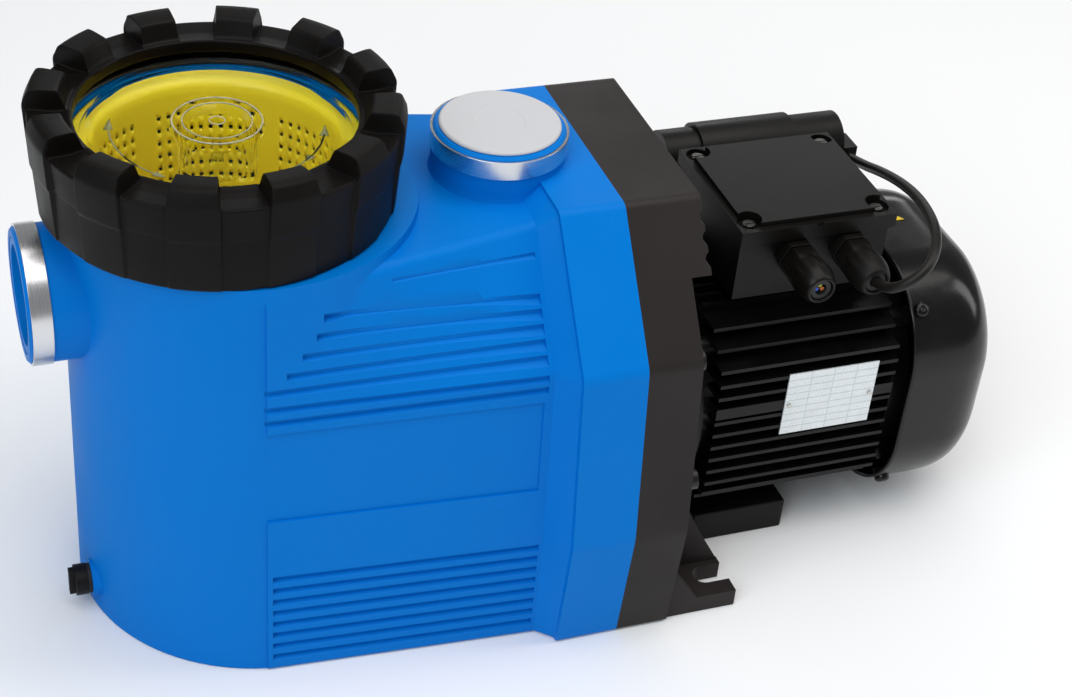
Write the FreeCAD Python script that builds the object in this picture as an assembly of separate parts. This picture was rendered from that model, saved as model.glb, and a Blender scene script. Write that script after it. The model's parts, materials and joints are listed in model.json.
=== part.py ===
import FreeCAD, Part
import math
import os

# Self-priming pool pump: a blue wet end with a strainer pot, a dark adaptor on feet and a finned motor.
# Shapes are drawn with X = 0 and Y = 0 on the vertical strainer axis, +X towards the motor, +Y away from
# the name plate side and Z = 0 on the floor. save() moves them so that the origin is under the middle.

# ---------------------------------------------------------------- driving dimensions, millimetres
ORIGIN_X = 192.5            # middle of the pump's length, measured from the strainer axis
SHAFT_Z = 96.0              # height of the motor shaft above the floor
FIT = 0.05                  # radial clearance of a running fit
SEAT = 0.02                 # radial gap of a seat inside one body

PORT_BORE_R = 28.35         # root radius of the 2 inch pipe thread
PORT_RING_R = 40.0          # stainless ring round each port
PORT_RING_LONG = 11.4
PORT_RIM_R = 38.4           # plastic rim inside the ring
PORT_RIM_PROUD = 1.7        # how far the rim stands out past the ring
PORT_RIM_CHAMFER = 1.4
SOCKET_R = 33.0             # outside of the threaded socket in each port
SOCKET_SUNK = 0.4           # its end lies this far under the rim
SOCKET_INNER_X = -84.0
SOCKET_LOW_Z = 250.0
CAP_R = 35.4
SUCTION_FACE_X = -112.0
SUCTION_Z = 214.5
DISCHARGE_X = 163.6
DISCHARGE_TOP_Z = 290.5

POT_CAVITY_R = 82.0
POT_FLOOR_Z = 14.0
POT_TOP_Z = 267.4
NECK_R = 86.0
NECK_TOP_Z = 300.0

RING_LUGS = 12
RING_LUG_TURN = -19.4       # angle of the first lug from the -Y side
RING_LUG_HALF = 7.7
RING_LOW_Z = 267.9
RING_FACE_Z = 319.5
RING_LUG_TOP_Z = 331.0
RING_R = 97.5
RING_LIP_R = 76.5
RING_LIP_Z = 312.0          # underside of the lip that holds the lid down
RING_BORE_R = 91.0

BASKET_TOP_R = 79.0
BASKET_R = 72.0
BASKET_LOW_Z = 62.0

PANEL_X = 3.0               # where the ribbed side panel starts
FLANGE_X0 = 176.6
FLANGE_X1 = 216.0
ADAPTOR_X1 = 249.5
HOOD_X1 = 262.0
UNDERSIDE_TOP_Z = 250.0
CHAMBER_R = 76.0
CHAMBER_X0 = 124.0

IMPELLER_R = 55.0
SKIN = 7.0                  # wall thickness of the housing's outer skin
DRAIN_Y = -26.0
DRAIN_Z = 20.0
DRAIN_FACE_X = -86.0
FOOT_NOTCH_X = 283.0
FOOT_NOTCH_Y = -110.5
FOOT_RIB_X = 250.0          # top corner of the ribs behind the adaptor
SHIELD_X0 = 262.2
FRAME_X0 = 285.0
FRAME_X1 = 415.0
CORE_X0 = 307.0             # ends of the laminated stator and rotor cores
CORE_X1 = 397.0
SHIELD_X1 = 428.0           # back of the rear end shield
STATOR_R = 62.0
ROTOR_R = 35.0
FIN_PITCH = 9.6
FIN_REACH = 78.0
COVER_X0 = 421.0
COVER_X1 = 462.0
COVER_HALF = 85.0
GRILLE_X = 497.0
COVER_WALL = 2.4
COVER_SCREW_X = 428.0       # four radial screws hold the cover at its corners
TIE_REACH = 51.0            # and the tie bolts this far

BOX_X0 = 306.0
BOX_X1 = 406.0
BOX_HALF = 46.0
BOX_Z0 = 176.2
BOX_Z1 = 216.0
LID_Z1 = 230.0
GLAND_Z = 205.0
GLAND_X = (342.5, 379.0)

CAPACITOR_Y = 72.0
CAPACITOR_Z = 207.0
CAPACITOR_R = 17.5

LEAD_R = 3.3
LEAD_ROUTE = (
    (379.0, -84.0, 205.0),
    (379.3, -96.5, 207.0),
    (384.5, -106.0, 215.0),
    (396.0, -107.5, 223.5),
    (407.5, -98.0, 229.0),
    (417.0, -81.5, 231.5),
    (424.0, -59.5, 231.0),
    (429.0, -34.0, 227.5),
    (431.5, -8.5, 221.5),
    (433.0, 17.0, 213.0),
    (433.5, 40.0, 204.0),
    (434.5, 61.0, 197.5),
)

V = FreeCAD.Vector
AXIS_X = V(1, 0, 0)
AXIS_Y = V(0, 1, 0)
AXIS_Z = V(0, 0, 1)


# ---------------------------------------------------------------- small helpers
def save(name, shape):
    """Write one node, moved so that the origin lies under the middle of the pump."""
    moved = shape.copy()
    moved.translate(V(-ORIGIN_X, 0, 0))
    moved.exportStep("parts/" + name + ".step")
    print(name, "solids", len(moved.Solids), "volume", round(moved.Volume), "valid", moved.isValid())


def rod_x(r, x0, x1, y=0.0, z=SHAFT_Z):
    return Part.makeCylinder(r, x1 - x0, V(x0, y, z), AXIS_X)


def rod_y(r, y0, y1, x, z):
    return Part.makeCylinder(r, y1 - y0, V(x, y0, z), AXIS_Y)


def rod_z(r, z0, z1, x=0.0, y=0.0):
    return Part.makeCylinder(r, z1 - z0, V(x, y, z0), AXIS_Z)


def tube_x(ro, ri, x0, x1, y=0.0, z=SHAFT_Z):
    return rod_x(ro, x0, x1, y, z).cut(rod_x(ri, x0 - 1, x1 + 1, y, z))


def tube_z(ro, ri, z0, z1, x=0.0, y=0.0):
    return rod_z(ro, z0, z1, x, y).cut(rod_z(ri, z0 - 1, z1 + 1, x, y))


def block(x0, x1, y0, y1, z0, z1):
    return Part.makeBox(x1 - x0, y1 - y0, z1 - z0, V(x0, y0, z0))


def turned_x(profile):
    """Turn a closed (x, radius) profile about the shaft axis."""
    points = [V(x, 0, SHAFT_Z + r) for x, r in profile]
    face = Part.Face(Part.makePolygon(points + points[:1]))
    return face.revolve(V(0, 0, SHAFT_Z), AXIS_X, 360)


def turned_z(profile, x=0.0, y=0.0):
    """Turn a closed (radius, z) profile about a vertical axis."""
    points = [V(x + r, y, z) for r, z in profile]
    face = Part.Face(Part.makePolygon(points + points[:1]))
    return face.revolve(V(x, y, 0), AXIS_Z, 360)


def hexagon_x(flats, x0, x1, y, z):
    points = []
    for k in range(6):
        a = math.radians(60 * k)
        points.append(V(x0, y + flats / math.sqrt(3) * math.cos(a), z + flats / math.sqrt(3) * math.sin(a)))
    face = Part.Face(Part.makePolygon(points + points[:1]))
    return face.extrude(V(x1 - x0, 0, 0))


def hexagon_y(flats, y0, y1, x, z):
    shape = hexagon_x(flats, y0, y1, 0, 0)
    shape.rotate(V(0, 0, 0), AXIS_Z, 90)
    shape.translate(V(x, 0, z))
    return shape


def rounded_wire(points, radii):
    """Closed wire through the corner points, each corner rounded by its own radius."""
    count = len(points)
    starts = []
    ends = []
    mids = []
    for k in range(count):
        corner = points[k]
        back = (points[k - 1] - corner).normalize()
        ahead = (points[(k + 1) % count] - corner).normalize()
        half = back.getAngle(ahead) / 2
        reach = radii[k] / math.tan(half)
        middle = (back + ahead).normalize()
        centre = corner + middle * (radii[k] / math.sin(half))
        starts.append(corner + back * reach)
        ends.append(corner + ahead * reach)
        mids.append(centre - middle * radii[k])
    edges = []
    for k in range(count):
        edges.append(Part.Arc(starts[k], mids[k], ends[k]).toShape())
        edges.append(Part.LineSegment(ends[k], starts[(k + 1) % count]).toShape())
    return Part.Wire(edges)


def mirrored_section(half, x, radii):
    """Closed (y, z) section from the corners of its +Y half, listed from the floor up."""
    right = [V(x, y, z) for y, z in half]
    left = [V(x, -y, z) for y, z in reversed(half)]
    return rounded_wire(right + left, list(radii) + list(reversed(radii)))


def rounded_square(half, corner, x):
    points = []
    for sy, sz in ((1, -1), (1, 1), (-1, 1), (-1, -1)):
        points.append(V(x, sy * half, SHAFT_Z + sz * half))
    return rounded_wire(points, [corner] * 4)


def prism_x(wire, length):
    return Part.Face(wire).extrude(V(length, 0, 0))


def around_x(shape, count, start=0.0):
    copies = []
    for k in range(count):
        one = shape.copy()
        one.rotate(V(0, 0, SHAFT_Z), AXIS_X, start + 360.0 * k / count)
        copies.append(one)
    return copies


def around_z(shape, count, start=0.0):
    copies = []
    for k in range(count):
        one = shape.copy()
        one.rotate(V(0, 0, 0), AXIS_Z, start + 360.0 * k / count)
        copies.append(one)
    return copies


def both_sides(shape):
    return [shape, shape.mirror(V(0, 0, 0), AXIS_Y)]


# ---------------------------------------------------------------- outline of the wet end and adaptor
FLANGE_HALF = ((131.9, 0.0), (140.5, 82.2), (128.0, 197.5), (68.5, 272.3))
FLANGE_ROUND = (3.0, 40.0, 14.0, 7.0)
BODY_END_HALF = ((120.0, 0.0), (119.0, 82.0), (111.0, 192.0), (62.0, 262.0))
BODY_START_HALF = ((109.6, 0.0), (106.6, 82.0), (103.0, 192.0), (100.4, 262.0))
BODY_ROUND = (2.0, 30.0, 10.0, 8.0)
BODY_END_X = 166.0

BOLT_PLACES = ((52.0, 250.0), (110.0, 186.0), (124.0, 108.0), (110.0, 36.0))


def body_half_width(x, z):
    """Half width of the ribbed side at one place, straight between the two end sections."""
    share = (x - PANEL_X) / (BODY_END_X - PANEL_X)
    corners = []
    for start, end in zip(BODY_START_HALF, BODY_END_HALF):
        corners.append((start[0] + share * (end[0] - start[0]), start[1] + share * (end[1] - start[1])))
    for low, high in zip(corners, corners[1:]):
        if low[1] <= z <= high[1]:
            along = (z - low[1]) / (high[1] - low[1])
            return low[0] + along * (high[0] - low[0])
    return corners[-1][0]


def side_groove(x0, z0, x1, z1, high, deep):
    """Cutter for one groove along the side, following the surface between its two ends."""
    wires = []
    for x, z in ((x0, z0), (x1, z1)):
        skin = body_half_width(x, z)
        low = z - high / 2
        top = z + high / 2
        corners = [
            V(x, -skin - 30, low - 14),
            V(x, -skin + deep, low + 0.6),
            V(x, -skin + deep, top),
            V(x, -skin - 30, top + 10),
        ]
        wires.append(Part.makePolygon(corners + corners[:1]))
    return Part.makeLoft(wires, True, True)


def housing_outside():
    pot_low = Part.Wire(Part.makeCircle(109.5, V(22, 0, 0), AXIS_Z))
    pot_high = Part.Wire(Part.makeCircle(99.0, V(12.5, 0, POT_TOP_Z), AXIS_Z))
    shape = Part.makeLoft([pot_low, pot_high], True, True)
    start = mirrored_section(BODY_START_HALF, PANEL_X, BODY_ROUND)
    end = mirrored_section(BODY_END_HALF, BODY_END_X, BODY_ROUND)
    shape = shape.fuse(Part.makeLoft([start, end], True, True))
    inset = [(y - 2.0, z if z == 0 else z - 1.5) for y, z in FLANGE_HALF]
    slope_start = mirrored_section(BODY_END_HALF, BODY_END_X, FLANGE_ROUND)
    slope_end = mirrored_section(inset, FLANGE_X0 + 1, FLANGE_ROUND)
    shape = shape.fuse(Part.makeLoft([slope_start, slope_end], True, True))
    flange = prism_x(mirrored_section(FLANGE_HALF, FLANGE_X0, FLANGE_ROUND), FLANGE_X1 - FLANGE_X0)
    shape = shape.fuse(flange)
    neck = rod_z(NECK_R, POT_TOP_Z - 2, NECK_TOP_Z)
    stub_x = SUCTION_FACE_X + PORT_RIM_PROUD + PORT_RING_LONG
    suction = rod_x(PORT_RING_R - 1.0, stub_x, -60, 0, SUCTION_Z)
    rim_x = SUCTION_FACE_X + PORT_RIM_CHAMFER
    suction = suction.fuse(rod_x(PORT_RIM_R, rim_x, -60, 0, SUCTION_Z))
    bevelled = Part.makeCone(PORT_RIM_R - PORT_RIM_CHAMFER, PORT_RIM_R, PORT_RIM_CHAMFER,
                             V(SUCTION_FACE_X, 0, SUCTION_Z), AXIS_X)
    suction = suction.fuse(bevelled)
    stub_top = DISCHARGE_TOP_Z - PORT_RIM_PROUD - PORT_RING_LONG
    profile = ((0, 230), (46, 230), (46, 252), (43, 256), (40.5, 261), (39, 266), (39, stub_top),
               (PORT_RIM_R, stub_top), (PORT_RIM_R, DISCHARGE_TOP_Z - PORT_RIM_CHAMFER),
               (PORT_RIM_R - PORT_RIM_CHAMFER, DISCHARGE_TOP_Z), (0, DISCHARGE_TOP_Z))
    discharge = turned_z(profile, DISCHARGE_X)
    return shape.fuse([neck, suction, discharge])


def housing_hollows():
    pot = rod_z(POT_CAVITY_R, POT_FLOOR_Z, NECK_TOP_Z + 1)
    chamber = rod_x(CHAMBER_R, CHAMBER_X0, FLANGE_X1 + 1)
    passage = rod_x(26.3, 70, CHAMBER_X0 + 1)
    suction = rod_x(SOCKET_R + SEAT, SUCTION_FACE_X - 1, SOCKET_INNER_X, 0, SUCTION_Z)
    suction = suction.fuse(rod_x(26.0, -90, -60, 0, SUCTION_Z))
    discharge = rod_z(SOCKET_R + SEAT, SOCKET_LOW_Z, DISCHARGE_TOP_Z + 1, DISCHARGE_X)
    discharge = discharge.fuse(rod_z(26.0, SHAFT_Z, SOCKET_LOW_Z + 1, DISCHARGE_X))
    drain = rod_x(6.0, -95, -70, DRAIN_Y, DRAIN_Z)
    return pot.fuse([chamber, passage, suction, discharge, drain])


def housing_grooves():
    louvres = (
        (35.0, 243.0, 228.0), (31.0, 232.0, 221.0), (23.0, 221.0, 214.0), (14.0, 210.5, 207.0),
        (2.0, 201.0, 199.5), (2.0, 190.0, 189.5), (2.0, 181.0, 182.0),
    )
    cutters = []
    for x0, z0, z1 in louvres:
        cutters.append(side_groove(x0, z0, 163.0, z1, 3.6, 2.6))
    cutters.append(side_groove(76.0, 253.0, 163.0, 248.0, 2.4, 1.6))
    for k in range(8):
        z = 9.5 + 8.5 * k
        cutters.append(side_groove(6.0, z, 164.0, z, 3.4, 2.8))
    panel = []
    for x in (2.0, 161.0):
        skin = body_half_width(x, 110)
        high = body_half_width(x, 172)
        corners = [
            V(x, -skin - 9, 112),
            V(x, -skin + 1.6, 112),
            V(x, -high + 1.6, 174),
            V(x, -high - 9, 174),
        ]
        panel.append(Part.makePolygon(corners + corners[:1]))
    cutters.append(Part.makeLoft(panel, True, True))
    everything = []
    for cutter in cutters:
        everything += both_sides(cutter)
    return everything


def housing_underside():
    """Space under the skin, round the pot and the pump chamber, open at the floor."""
    pot_low = Part.Wire(Part.makeCircle(109.5 - SKIN, V(22, 0, -1), AXIS_Z))
    pot_high = Part.Wire(Part.makeCircle(100.0 - SKIN, V(13, 0, UNDERSIDE_TOP_Z), AXIS_Z))
    space = Part.makeLoft([pot_low, pot_high], True, True)
    sections = []
    stations = ((BODY_START_HALF, PANEL_X), (BODY_END_HALF, BODY_END_X), (BODY_END_HALF, FLANGE_X1 - 12))
    for half, x in stations:
        inset = [(y - SKIN, z - 1 if z == 0 else z - SKIN - 3) for y, z in half]
        sections.append(mirrored_section(inset, x, BODY_ROUND))
    space = space.fuse(Part.makeLoft(sections, True, True))
    kept = [
        rod_z(POT_CAVITY_R + SKIN, -5, 300),
        rod_x(CHAMBER_R + SKIN, CHAMBER_X0 - SKIN, 220),
        rod_x(26.3 + SKIN, 70, CHAMBER_X0),
        rod_z(26.0 + SKIN, SHAFT_Z, 300, DISCHARGE_X),
        rod_z(SOCKET_R + SKIN - 1, 240, 300, DISCHARGE_X),
        rod_x(SOCKET_R + SKIN - 1, -100, -60, 0, SUCTION_Z),
        rod_x(12.0, -100, -66, DRAIN_Y, DRAIN_Z),
    ]
    for y, z in BOLT_PLACES:
        kept += both_sides(rod_x(10.0, 180, 220, y, z))
    return space.cut(kept)


def housing():
    boss = rod_x(12.0, DRAIN_FACE_X, -66, DRAIN_Y, DRAIN_Z)
    shape = housing_outside().fuse(boss)
    shape = shape.cut(housing_grooves())
    shape = shape.cut(housing_underside())
    shape = shape.cut(housing_hollows())
    bolts = []
    for y, z in BOLT_PLACES:
        bolts += both_sides(rod_x(4.0, 190, FLANGE_X1 + 1, y, z))
    return shape.cut(bolts).removeSplitter()


def adaptor():
    """Dark plate behind the flange: seal seat in the middle, hollow back, hood above and two feet."""
    outline = mirrored_section(FLANGE_HALF, FLANGE_X1, FLANGE_ROUND)
    plate = prism_x(outline, ADAPTOR_X1 - FLANGE_X1)
    inner = [(y - 7, z + 7 if z == 0 else z - 7) for y, z in FLANGE_HALF]
    pocket = prism_x(mirrored_section(inner, FLANGE_X1 + 11, FLANGE_ROUND), ADAPTOR_X1)
    ring = tube_x(82.0, 66.0, FLANGE_X1 + 9, 262.0)
    shape = plate.cut(pocket).fuse(ring)
    for y, z in BOLT_PLACES:
        shape = shape.fuse(both_sides(rod_x(10.0, FLANGE_X1 + 1, ADAPTOR_X1, y, z)))
    shape = shape.fuse(rod_x(30.0, 205.0, FLANGE_X1 + 10))
    hood = prism_x(mirrored_section(FLANGE_HALF, ADAPTOR_X1 - 1, FLANGE_ROUND), HOOD_X1 - ADAPTOR_X1 + 1)
    hood = hood.cut(prism_x(mirrored_section(inner, ADAPTOR_X1 - 2, FLANGE_ROUND), 40))
    hood = hood.common(block(ADAPTOR_X1 - 2, 300, -200, 200, 236, 300))
    scallops = []
    for k in range(3):
        place = V(HOOD_X1 + 1.2, -60, 243 + 9.5 * k)
        scallops += both_sides(Part.makeCylinder(3.6, 40, place, V(0, -1, 0)))
    shape = shape.fuse(hood.cut(scallops))
    shape = shape.fuse([foot for side in both_sides(one_foot()) for foot in side.Solids])
    drilled = []
    for y, z in BOLT_PLACES:
        drilled += both_sides(rod_x(4.25, FLANGE_X1 - 1, ADAPTOR_X1 + 1, y, z))
    seat = rod_x(17.5, 204, 215.2)
    shaft_way = rod_x(11.0, 204, 240)
    groove = tube_x(88.1, 83.9, FLANGE_X1 - 1, FLANGE_X1 + 3.9)
    return shape.cut(drilled + [seat, shaft_way, groove]).removeSplitter()


def one_foot():
    """Flat foot behind the adaptor on the -Y side, with a gusset and a U notch open towards +X."""
    sole = block(240, 297, -129, -86, 0, 12)
    corner_cut = Part.makePolygon([V(280, -86, -1), V(300, -86, -1), V(300, -99, -1), V(280, -86, -1)])
    sole = sole.cut(Part.Face(corner_cut).extrude(V(0, 0, 20)))
    notch = block(FOOT_NOTCH_X, 300, FOOT_NOTCH_Y - 7.5, FOOT_NOTCH_Y + 7.5, -1, 20)
    notch = notch.fuse(rod_z(7.5, -1, 20, FOOT_NOTCH_X, FOOT_NOTCH_Y))
    rib = Part.makePolygon([V(226, 0, 11), V(297, 0, 11), V(282, 0, 37), V(FOOT_RIB_X, 0, 98), V(226, 0, 98),
                            V(226, 0, 11)])
    rib = Part.Face(rib).extrude(V(0, 8, 0))
    rib.translate(V(0, -99, 0))
    web = Part.makePolygon([V(226, 0, 11), V(271, 0, 11), V(FOOT_RIB_X, 0, 40), V(226, 0, 40), V(226, 0, 11)])
    web = Part.Face(web).extrude(V(0, 8, 0))
    web.translate(V(0, -129, 0))
    return sole.cut(notch).fuse([rib, web])


def casing_bolts():
    bolts = []
    for y, z in BOLT_PLACES:
        bolt = rod_x(3.95, 192, ADAPTOR_X1 + 0.5, y, z).fuse(rod_x(6.5, ADAPTOR_X1, ADAPTOR_X1 + 8, y, z))
        socket = hexagon_x(6.0, ADAPTOR_X1 + 4, ADAPTOR_X1 + 9, y, z)
        bolts += both_sides(bolt.cut(socket))
    return Part.makeCompound(bolts)


def torus_x(major, minor, x):
    return Part.makeTorus(major, minor, V(x, 0, SHAFT_Z), AXIS_X)


def port_ring_suction():
    front = SUCTION_FACE_X + PORT_RIM_PROUD
    return tube_x(PORT_RING_R, PORT_RIM_R + SEAT, front, front + PORT_RING_LONG, 0, SUCTION_Z)


def port_ring_discharge():
    top = DISCHARGE_TOP_Z - PORT_RIM_PROUD
    return tube_z(PORT_RING_R, PORT_RIM_R + SEAT, top - PORT_RING_LONG, top, DISCHARGE_X)


def port_sockets():
    """Threaded sockets of both ports; the upper one is widened at the top for the skirt of the cap."""
    face = SUCTION_FACE_X + SOCKET_SUNK
    suction = tube_x(SOCKET_R, PORT_BORE_R, face, SOCKET_INNER_X - SEAT, 0, SUCTION_Z)
    top = DISCHARGE_TOP_Z - SOCKET_SUNK
    discharge = tube_z(SOCKET_R, PORT_BORE_R, SOCKET_LOW_Z + SEAT, top, DISCHARGE_X)
    discharge = discharge.cut(rod_z(31.0, DISCHARGE_TOP_Z - 9, DISCHARGE_TOP_Z + 1, DISCHARGE_X))
    return Part.makeCompound([suction, discharge])


# ---------------------------------------------------------------- strainer pot: lid, ring, basket, drain
def lock_ring():
    profile = ((RING_BORE_R, RING_LOW_Z), (RING_R, RING_LOW_Z), (RING_R + 3.0, RING_FACE_Z - 2),
               (RING_R + 1.5, RING_FACE_Z), (RING_LIP_R, RING_FACE_Z), (RING_LIP_R, RING_LIP_Z),
               (RING_BORE_R, RING_LIP_Z))
    ring = turned_z(profile)
    lug_profile = ((RING_R - 8, RING_LOW_Z), (RING_R + 4.5, RING_LOW_Z), (RING_R + 6.0, 322.0),
                   (RING_R + 1.0, RING_LUG_TOP_Z - 1), (RING_R - 2, RING_LUG_TOP_Z),
                   (RING_LIP_R + 6, RING_LUG_TOP_Z - 1), (RING_LIP_R + 3.5, RING_FACE_Z - 1),
                   (RING_R - 8, 314.0))
    points = [V(r, 0, z) for r, z in lug_profile]
    face = Part.Face(Part.makePolygon(points + points[:1]))
    lug = face.revolve(V(0, 0, 0), AXIS_Z, 2 * RING_LUG_HALF)
    lugs = around_z(lug, RING_LUGS, -90 + RING_LUG_TURN - RING_LUG_HALF)
    shape = ring.fuse(lugs)
    return shape.cut(rod_z(RING_BORE_R, RING_LOW_Z - 1, RING_LIP_Z)).removeSplitter()


def clear_lid():
    """Clear round lid: flange, flat window and a deep finger cup with a small nub in the middle."""
    profile = ((0, 281), (21.5, 281), (21.5, 304), (74, 304), (74, 301.2), (90.0, 301.2), (90.0, 311.2),
               (70.0, 311.2), (66.0, 308.6), (26.0, 308.6), (25.0, 313.0), (18.5, 313.0), (18.5, 284.0),
               (3.5, 284.0), (3.5, 290.0), (0, 290.0))
    lid = turned_z(profile)
    groove = tube_z(85.4, 82.6, 300, 303.0)
    return lid.cut(groove)


def lid_o_ring():
    return Part.makeTorus(84.0, 1.35, V(0, 0, 301.62), AXIS_Z)


def strainer_basket():
    outer = ((0, BASKET_LOW_Z), (64, BASKET_LOW_Z), (66, BASKET_LOW_Z + 3), (BASKET_R, 292),
             (BASKET_TOP_R, 293.5), (BASKET_TOP_R, 297.0), (BASKET_R - 4, 297.0), (BASKET_R - 4, 293.0),
             (BASKET_R - 2.2, 292),
             (63.8, BASKET_LOW_Z + 5), (61, BASKET_LOW_Z + 2.4), (0, BASKET_LOW_Z + 2.4))
    basket = turned_z(outer)
    slots = []
    for row in range(5):
        slot = block(55, 80, -2.2, 2.2, 76 + 42 * row, 106 + 42 * row)
        slots += around_z(slot, 24)
    for k in range(3):
        slots += around_z(block(14 + 16 * k, 24 + 16 * k, -2, 2, 60, 68), 12)
    return basket.cut(Part.makeCompound(slots))


def drain_plug():
    """Threaded plug with a grip bar; it screws out towards -X."""
    shank = rod_x(6.0 - FIT, -92.5, -72, DRAIN_Y, DRAIN_Z)
    head = rod_x(9.5, DRAIN_FACE_X - 9.5, DRAIN_FACE_X - 2.3, DRAIN_Y, DRAIN_Z)
    bar = block(DRAIN_FACE_X - 13, DRAIN_FACE_X - 9, DRAIN_Y - 2.2, DRAIN_Y + 2.2, DRAIN_Z - 9, DRAIN_Z + 9)
    return shank.fuse([head, bar])


def drain_seal():
    return tube_x(9.0, 6.0 + 0.1, DRAIN_FACE_X - 2.2, DRAIN_FACE_X - 0.1, DRAIN_Y, DRAIN_Z)


def transport_cap():
    """Thin pressed cap that closes the discharge port until the pump is piped up."""
    top = DISCHARGE_TOP_Z
    profile = ((0, top + 0.1), (28.6, top + 0.1), (28.6, top - 7.5),
               (30.4, top - 7.5), (30.4, top + 0.1), (CAP_R, top + 0.1), (CAP_R, top + 1.4),
               (CAP_R - 1.2, top + 2.4), (15, top + 2.6), (13.5, top + 2.1), (0, top + 2.1))
    return turned_z(profile, DISCHARGE_X)


# ---------------------------------------------------------------- hydraulics and shaft seal
def diffuser():
    neck = tube_x(26.2, 23.0, 118, 166)
    front = tube_x(CHAMBER_R - 0.3, 23.0, 162, 166)
    cage = tube_x(CHAMBER_R - 0.3, CHAMBER_R - 2.6, 166, 190)
    vane = block(165, 190, -1.2, 1.2, SHAFT_Z + 58.5, SHAFT_Z + CHAMBER_R - 2)
    vane.rotate(V(178, 0, SHAFT_Z + 66), AXIS_X, 35)
    return neck.fuse([front, cage] + around_x(vane, 9))


def impeller():
    """Closed impeller: front shroud with the eye, back shroud with the hub and six curved vanes."""
    back = turned_x(((168, 9.02), (168, 14), (182, 20), (184, IMPELLER_R), (187, IMPELLER_R), (187, 14),
                     (190, 14), (190, 9.02)))
    front = turned_x(((166.6, 22.0), (173.0, IMPELLER_R), (170.6, IMPELLER_R), (166.6, 25.5)))
    outer = Part.makeCylinder(44, 16, V(168.5, 20, SHAFT_Z + 4), AXIS_X)
    inner = Part.makeCylinder(42, 16, V(168.5, 20, SHAFT_Z + 4), AXIS_X)
    vane = outer.cut(inner)
    vane = vane.common(block(168, 186, -60, 60, SHAFT_Z + 8, SHAFT_Z + 60))
    vane = vane.common(tube_x(IMPELLER_R - 0.4, 20.0, 168, 186))
    between = ((167.5, 20.0), (167.9, 24.5), (172.6, IMPELLER_R), (184.5, IMPELLER_R), (182.5, 20.0))
    vane = max(vane.common(turned_x(between)).Solids, key=lambda solid: solid.Volume)
    wheel = back.fuse([front] + around_x(vane, 6))
    keyway = block(170, 186, -2.0 - SEAT, 2.0 + SEAT, SHAFT_Z, SHAFT_Z + 10.6)
    return wheel.cut(keyway)


def impeller_key():
    return block(171, 185, -2.0, 2.0, SHAFT_Z + 6.4, SHAFT_Z + 10.4)


def impeller_nut():
    cap = hexagon_x(17.0, 157.5, 167.9, 0, SHAFT_Z)
    return cap.cut(rod_x(6.0 + SEAT, 160.5, 169))


def seal_head():
    """Turning half of the mechanical seal: drive collar, spring sleeve and carbon face."""
    profile = ((190.2, 9.02), (190.2, 15.5), (193, 15.5), (193, 13.6), (199, 13.6), (199, 15.2),
               (203.2, 15.2),
               (203.2, 14.2), (204.6, 14.2), (204.6, 10.4), (199, 10.4), (199, 9.02))
    return turned_x(profile)


def seal_seat():
    return tube_x(15.4, 9.8, 204.75, 213.0)


def seal_cup():
    return tube_x(17.5 - SEAT, 15.4 + SEAT, 206.0, 214.0)


# ---------------------------------------------------------------- motor, turning parts
def shaft():
    steps = ((6.0, 161.0, 168.2), (9.0, 168.0, 216.0), (10.0, 215.0, 283.5), (12.0, 283.1, 399.0),
             (10.5, 398.0, 415.4), (8.5, 415.0, 430.0), (7.0, 429.0, 467.0))
    shape = rod_x(*steps[0])
    for step in steps[1:]:
        shape = shape.fuse(rod_x(*step))
    keyway = block(171 - SEAT, 185 + SEAT, -2.0 - SEAT, 2.0 + SEAT, SHAFT_Z + 6.4, SHAFT_Z + 12)
    return shape.cut(keyway).removeSplitter()


def rotor_core():
    core = tube_x(ROTOR_R, 12.0 + SEAT, CORE_X0, CORE_X1)
    cage_front = tube_x(ROTOR_R - 3, 22, CORE_X0 - 5, CORE_X0)
    cage_rear = tube_x(ROTOR_R - 3, 22, CORE_X1, CORE_X1 + 5)
    return core.fuse([cage_front, cage_rear])


def slinger():
    return tube_x(16.0, 10.0 + SEAT, 228, 232).fuse(tube_x(13.0, 10.0 + SEAT, 232, 238))


BEARINGS = {
    "front": {"x": 269.0, "wide": 14.0, "bore": 10.0, "outer": 23.5, "ball": 3.9, "balls": 8},
    "rear": {"x": 415.5, "wide": 12.0, "bore": 8.5, "outer": 20.0, "ball": 3.3, "balls": 8},
}


def bearing_pieces(b):
    """Deep groove ball bearing: inner ring, outer ring, balls and cage, all on the shaft axis."""
    pitch = (b["bore"] + b["outer"]) / 2
    land = b["ball"] * 0.62
    x0 = b["x"]
    x1 = b["x"] + b["wide"]
    middle = (x0 + x1) / 2
    groove = torus_x(pitch, b["ball"] + 0.12, middle)
    inner = tube_x(pitch - land, b["bore"] + SEAT, x0, x1).cut(groove)
    outer = tube_x(b["outer"] - SEAT, pitch + land, x0, x1).cut(groove)
    ball = Part.makeSphere(b["ball"], V(middle, 0, SHAFT_Z + pitch))
    balls = around_x(ball, b["balls"])
    cage = tube_x(pitch + 1.0, pitch - 1.0, middle - b["ball"] - 0.9, middle + b["ball"] + 0.9)
    pocket = Part.makeSphere(b["ball"] + 0.05, V(middle, 0, SHAFT_Z + pitch))
    cage = cage.cut(around_x(pocket, b["balls"]))
    return inner, outer, Part.makeCompound(balls), cage


def cooling_fan():
    hub = tube_x(13.0, 7.0 + SEAT, 439, 463)
    disc = tube_x(70.0, 12.0, 440, 442.5)
    blade = block(442, 461, -1.3, 1.3, SHAFT_Z + 24, SHAFT_Z + 70)
    return hub.fuse([disc] + around_x(blade, 9))


def fan_clip():
    return tube_x(10.0, 7.0 + SEAT, 463.1, 464.6)


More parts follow.
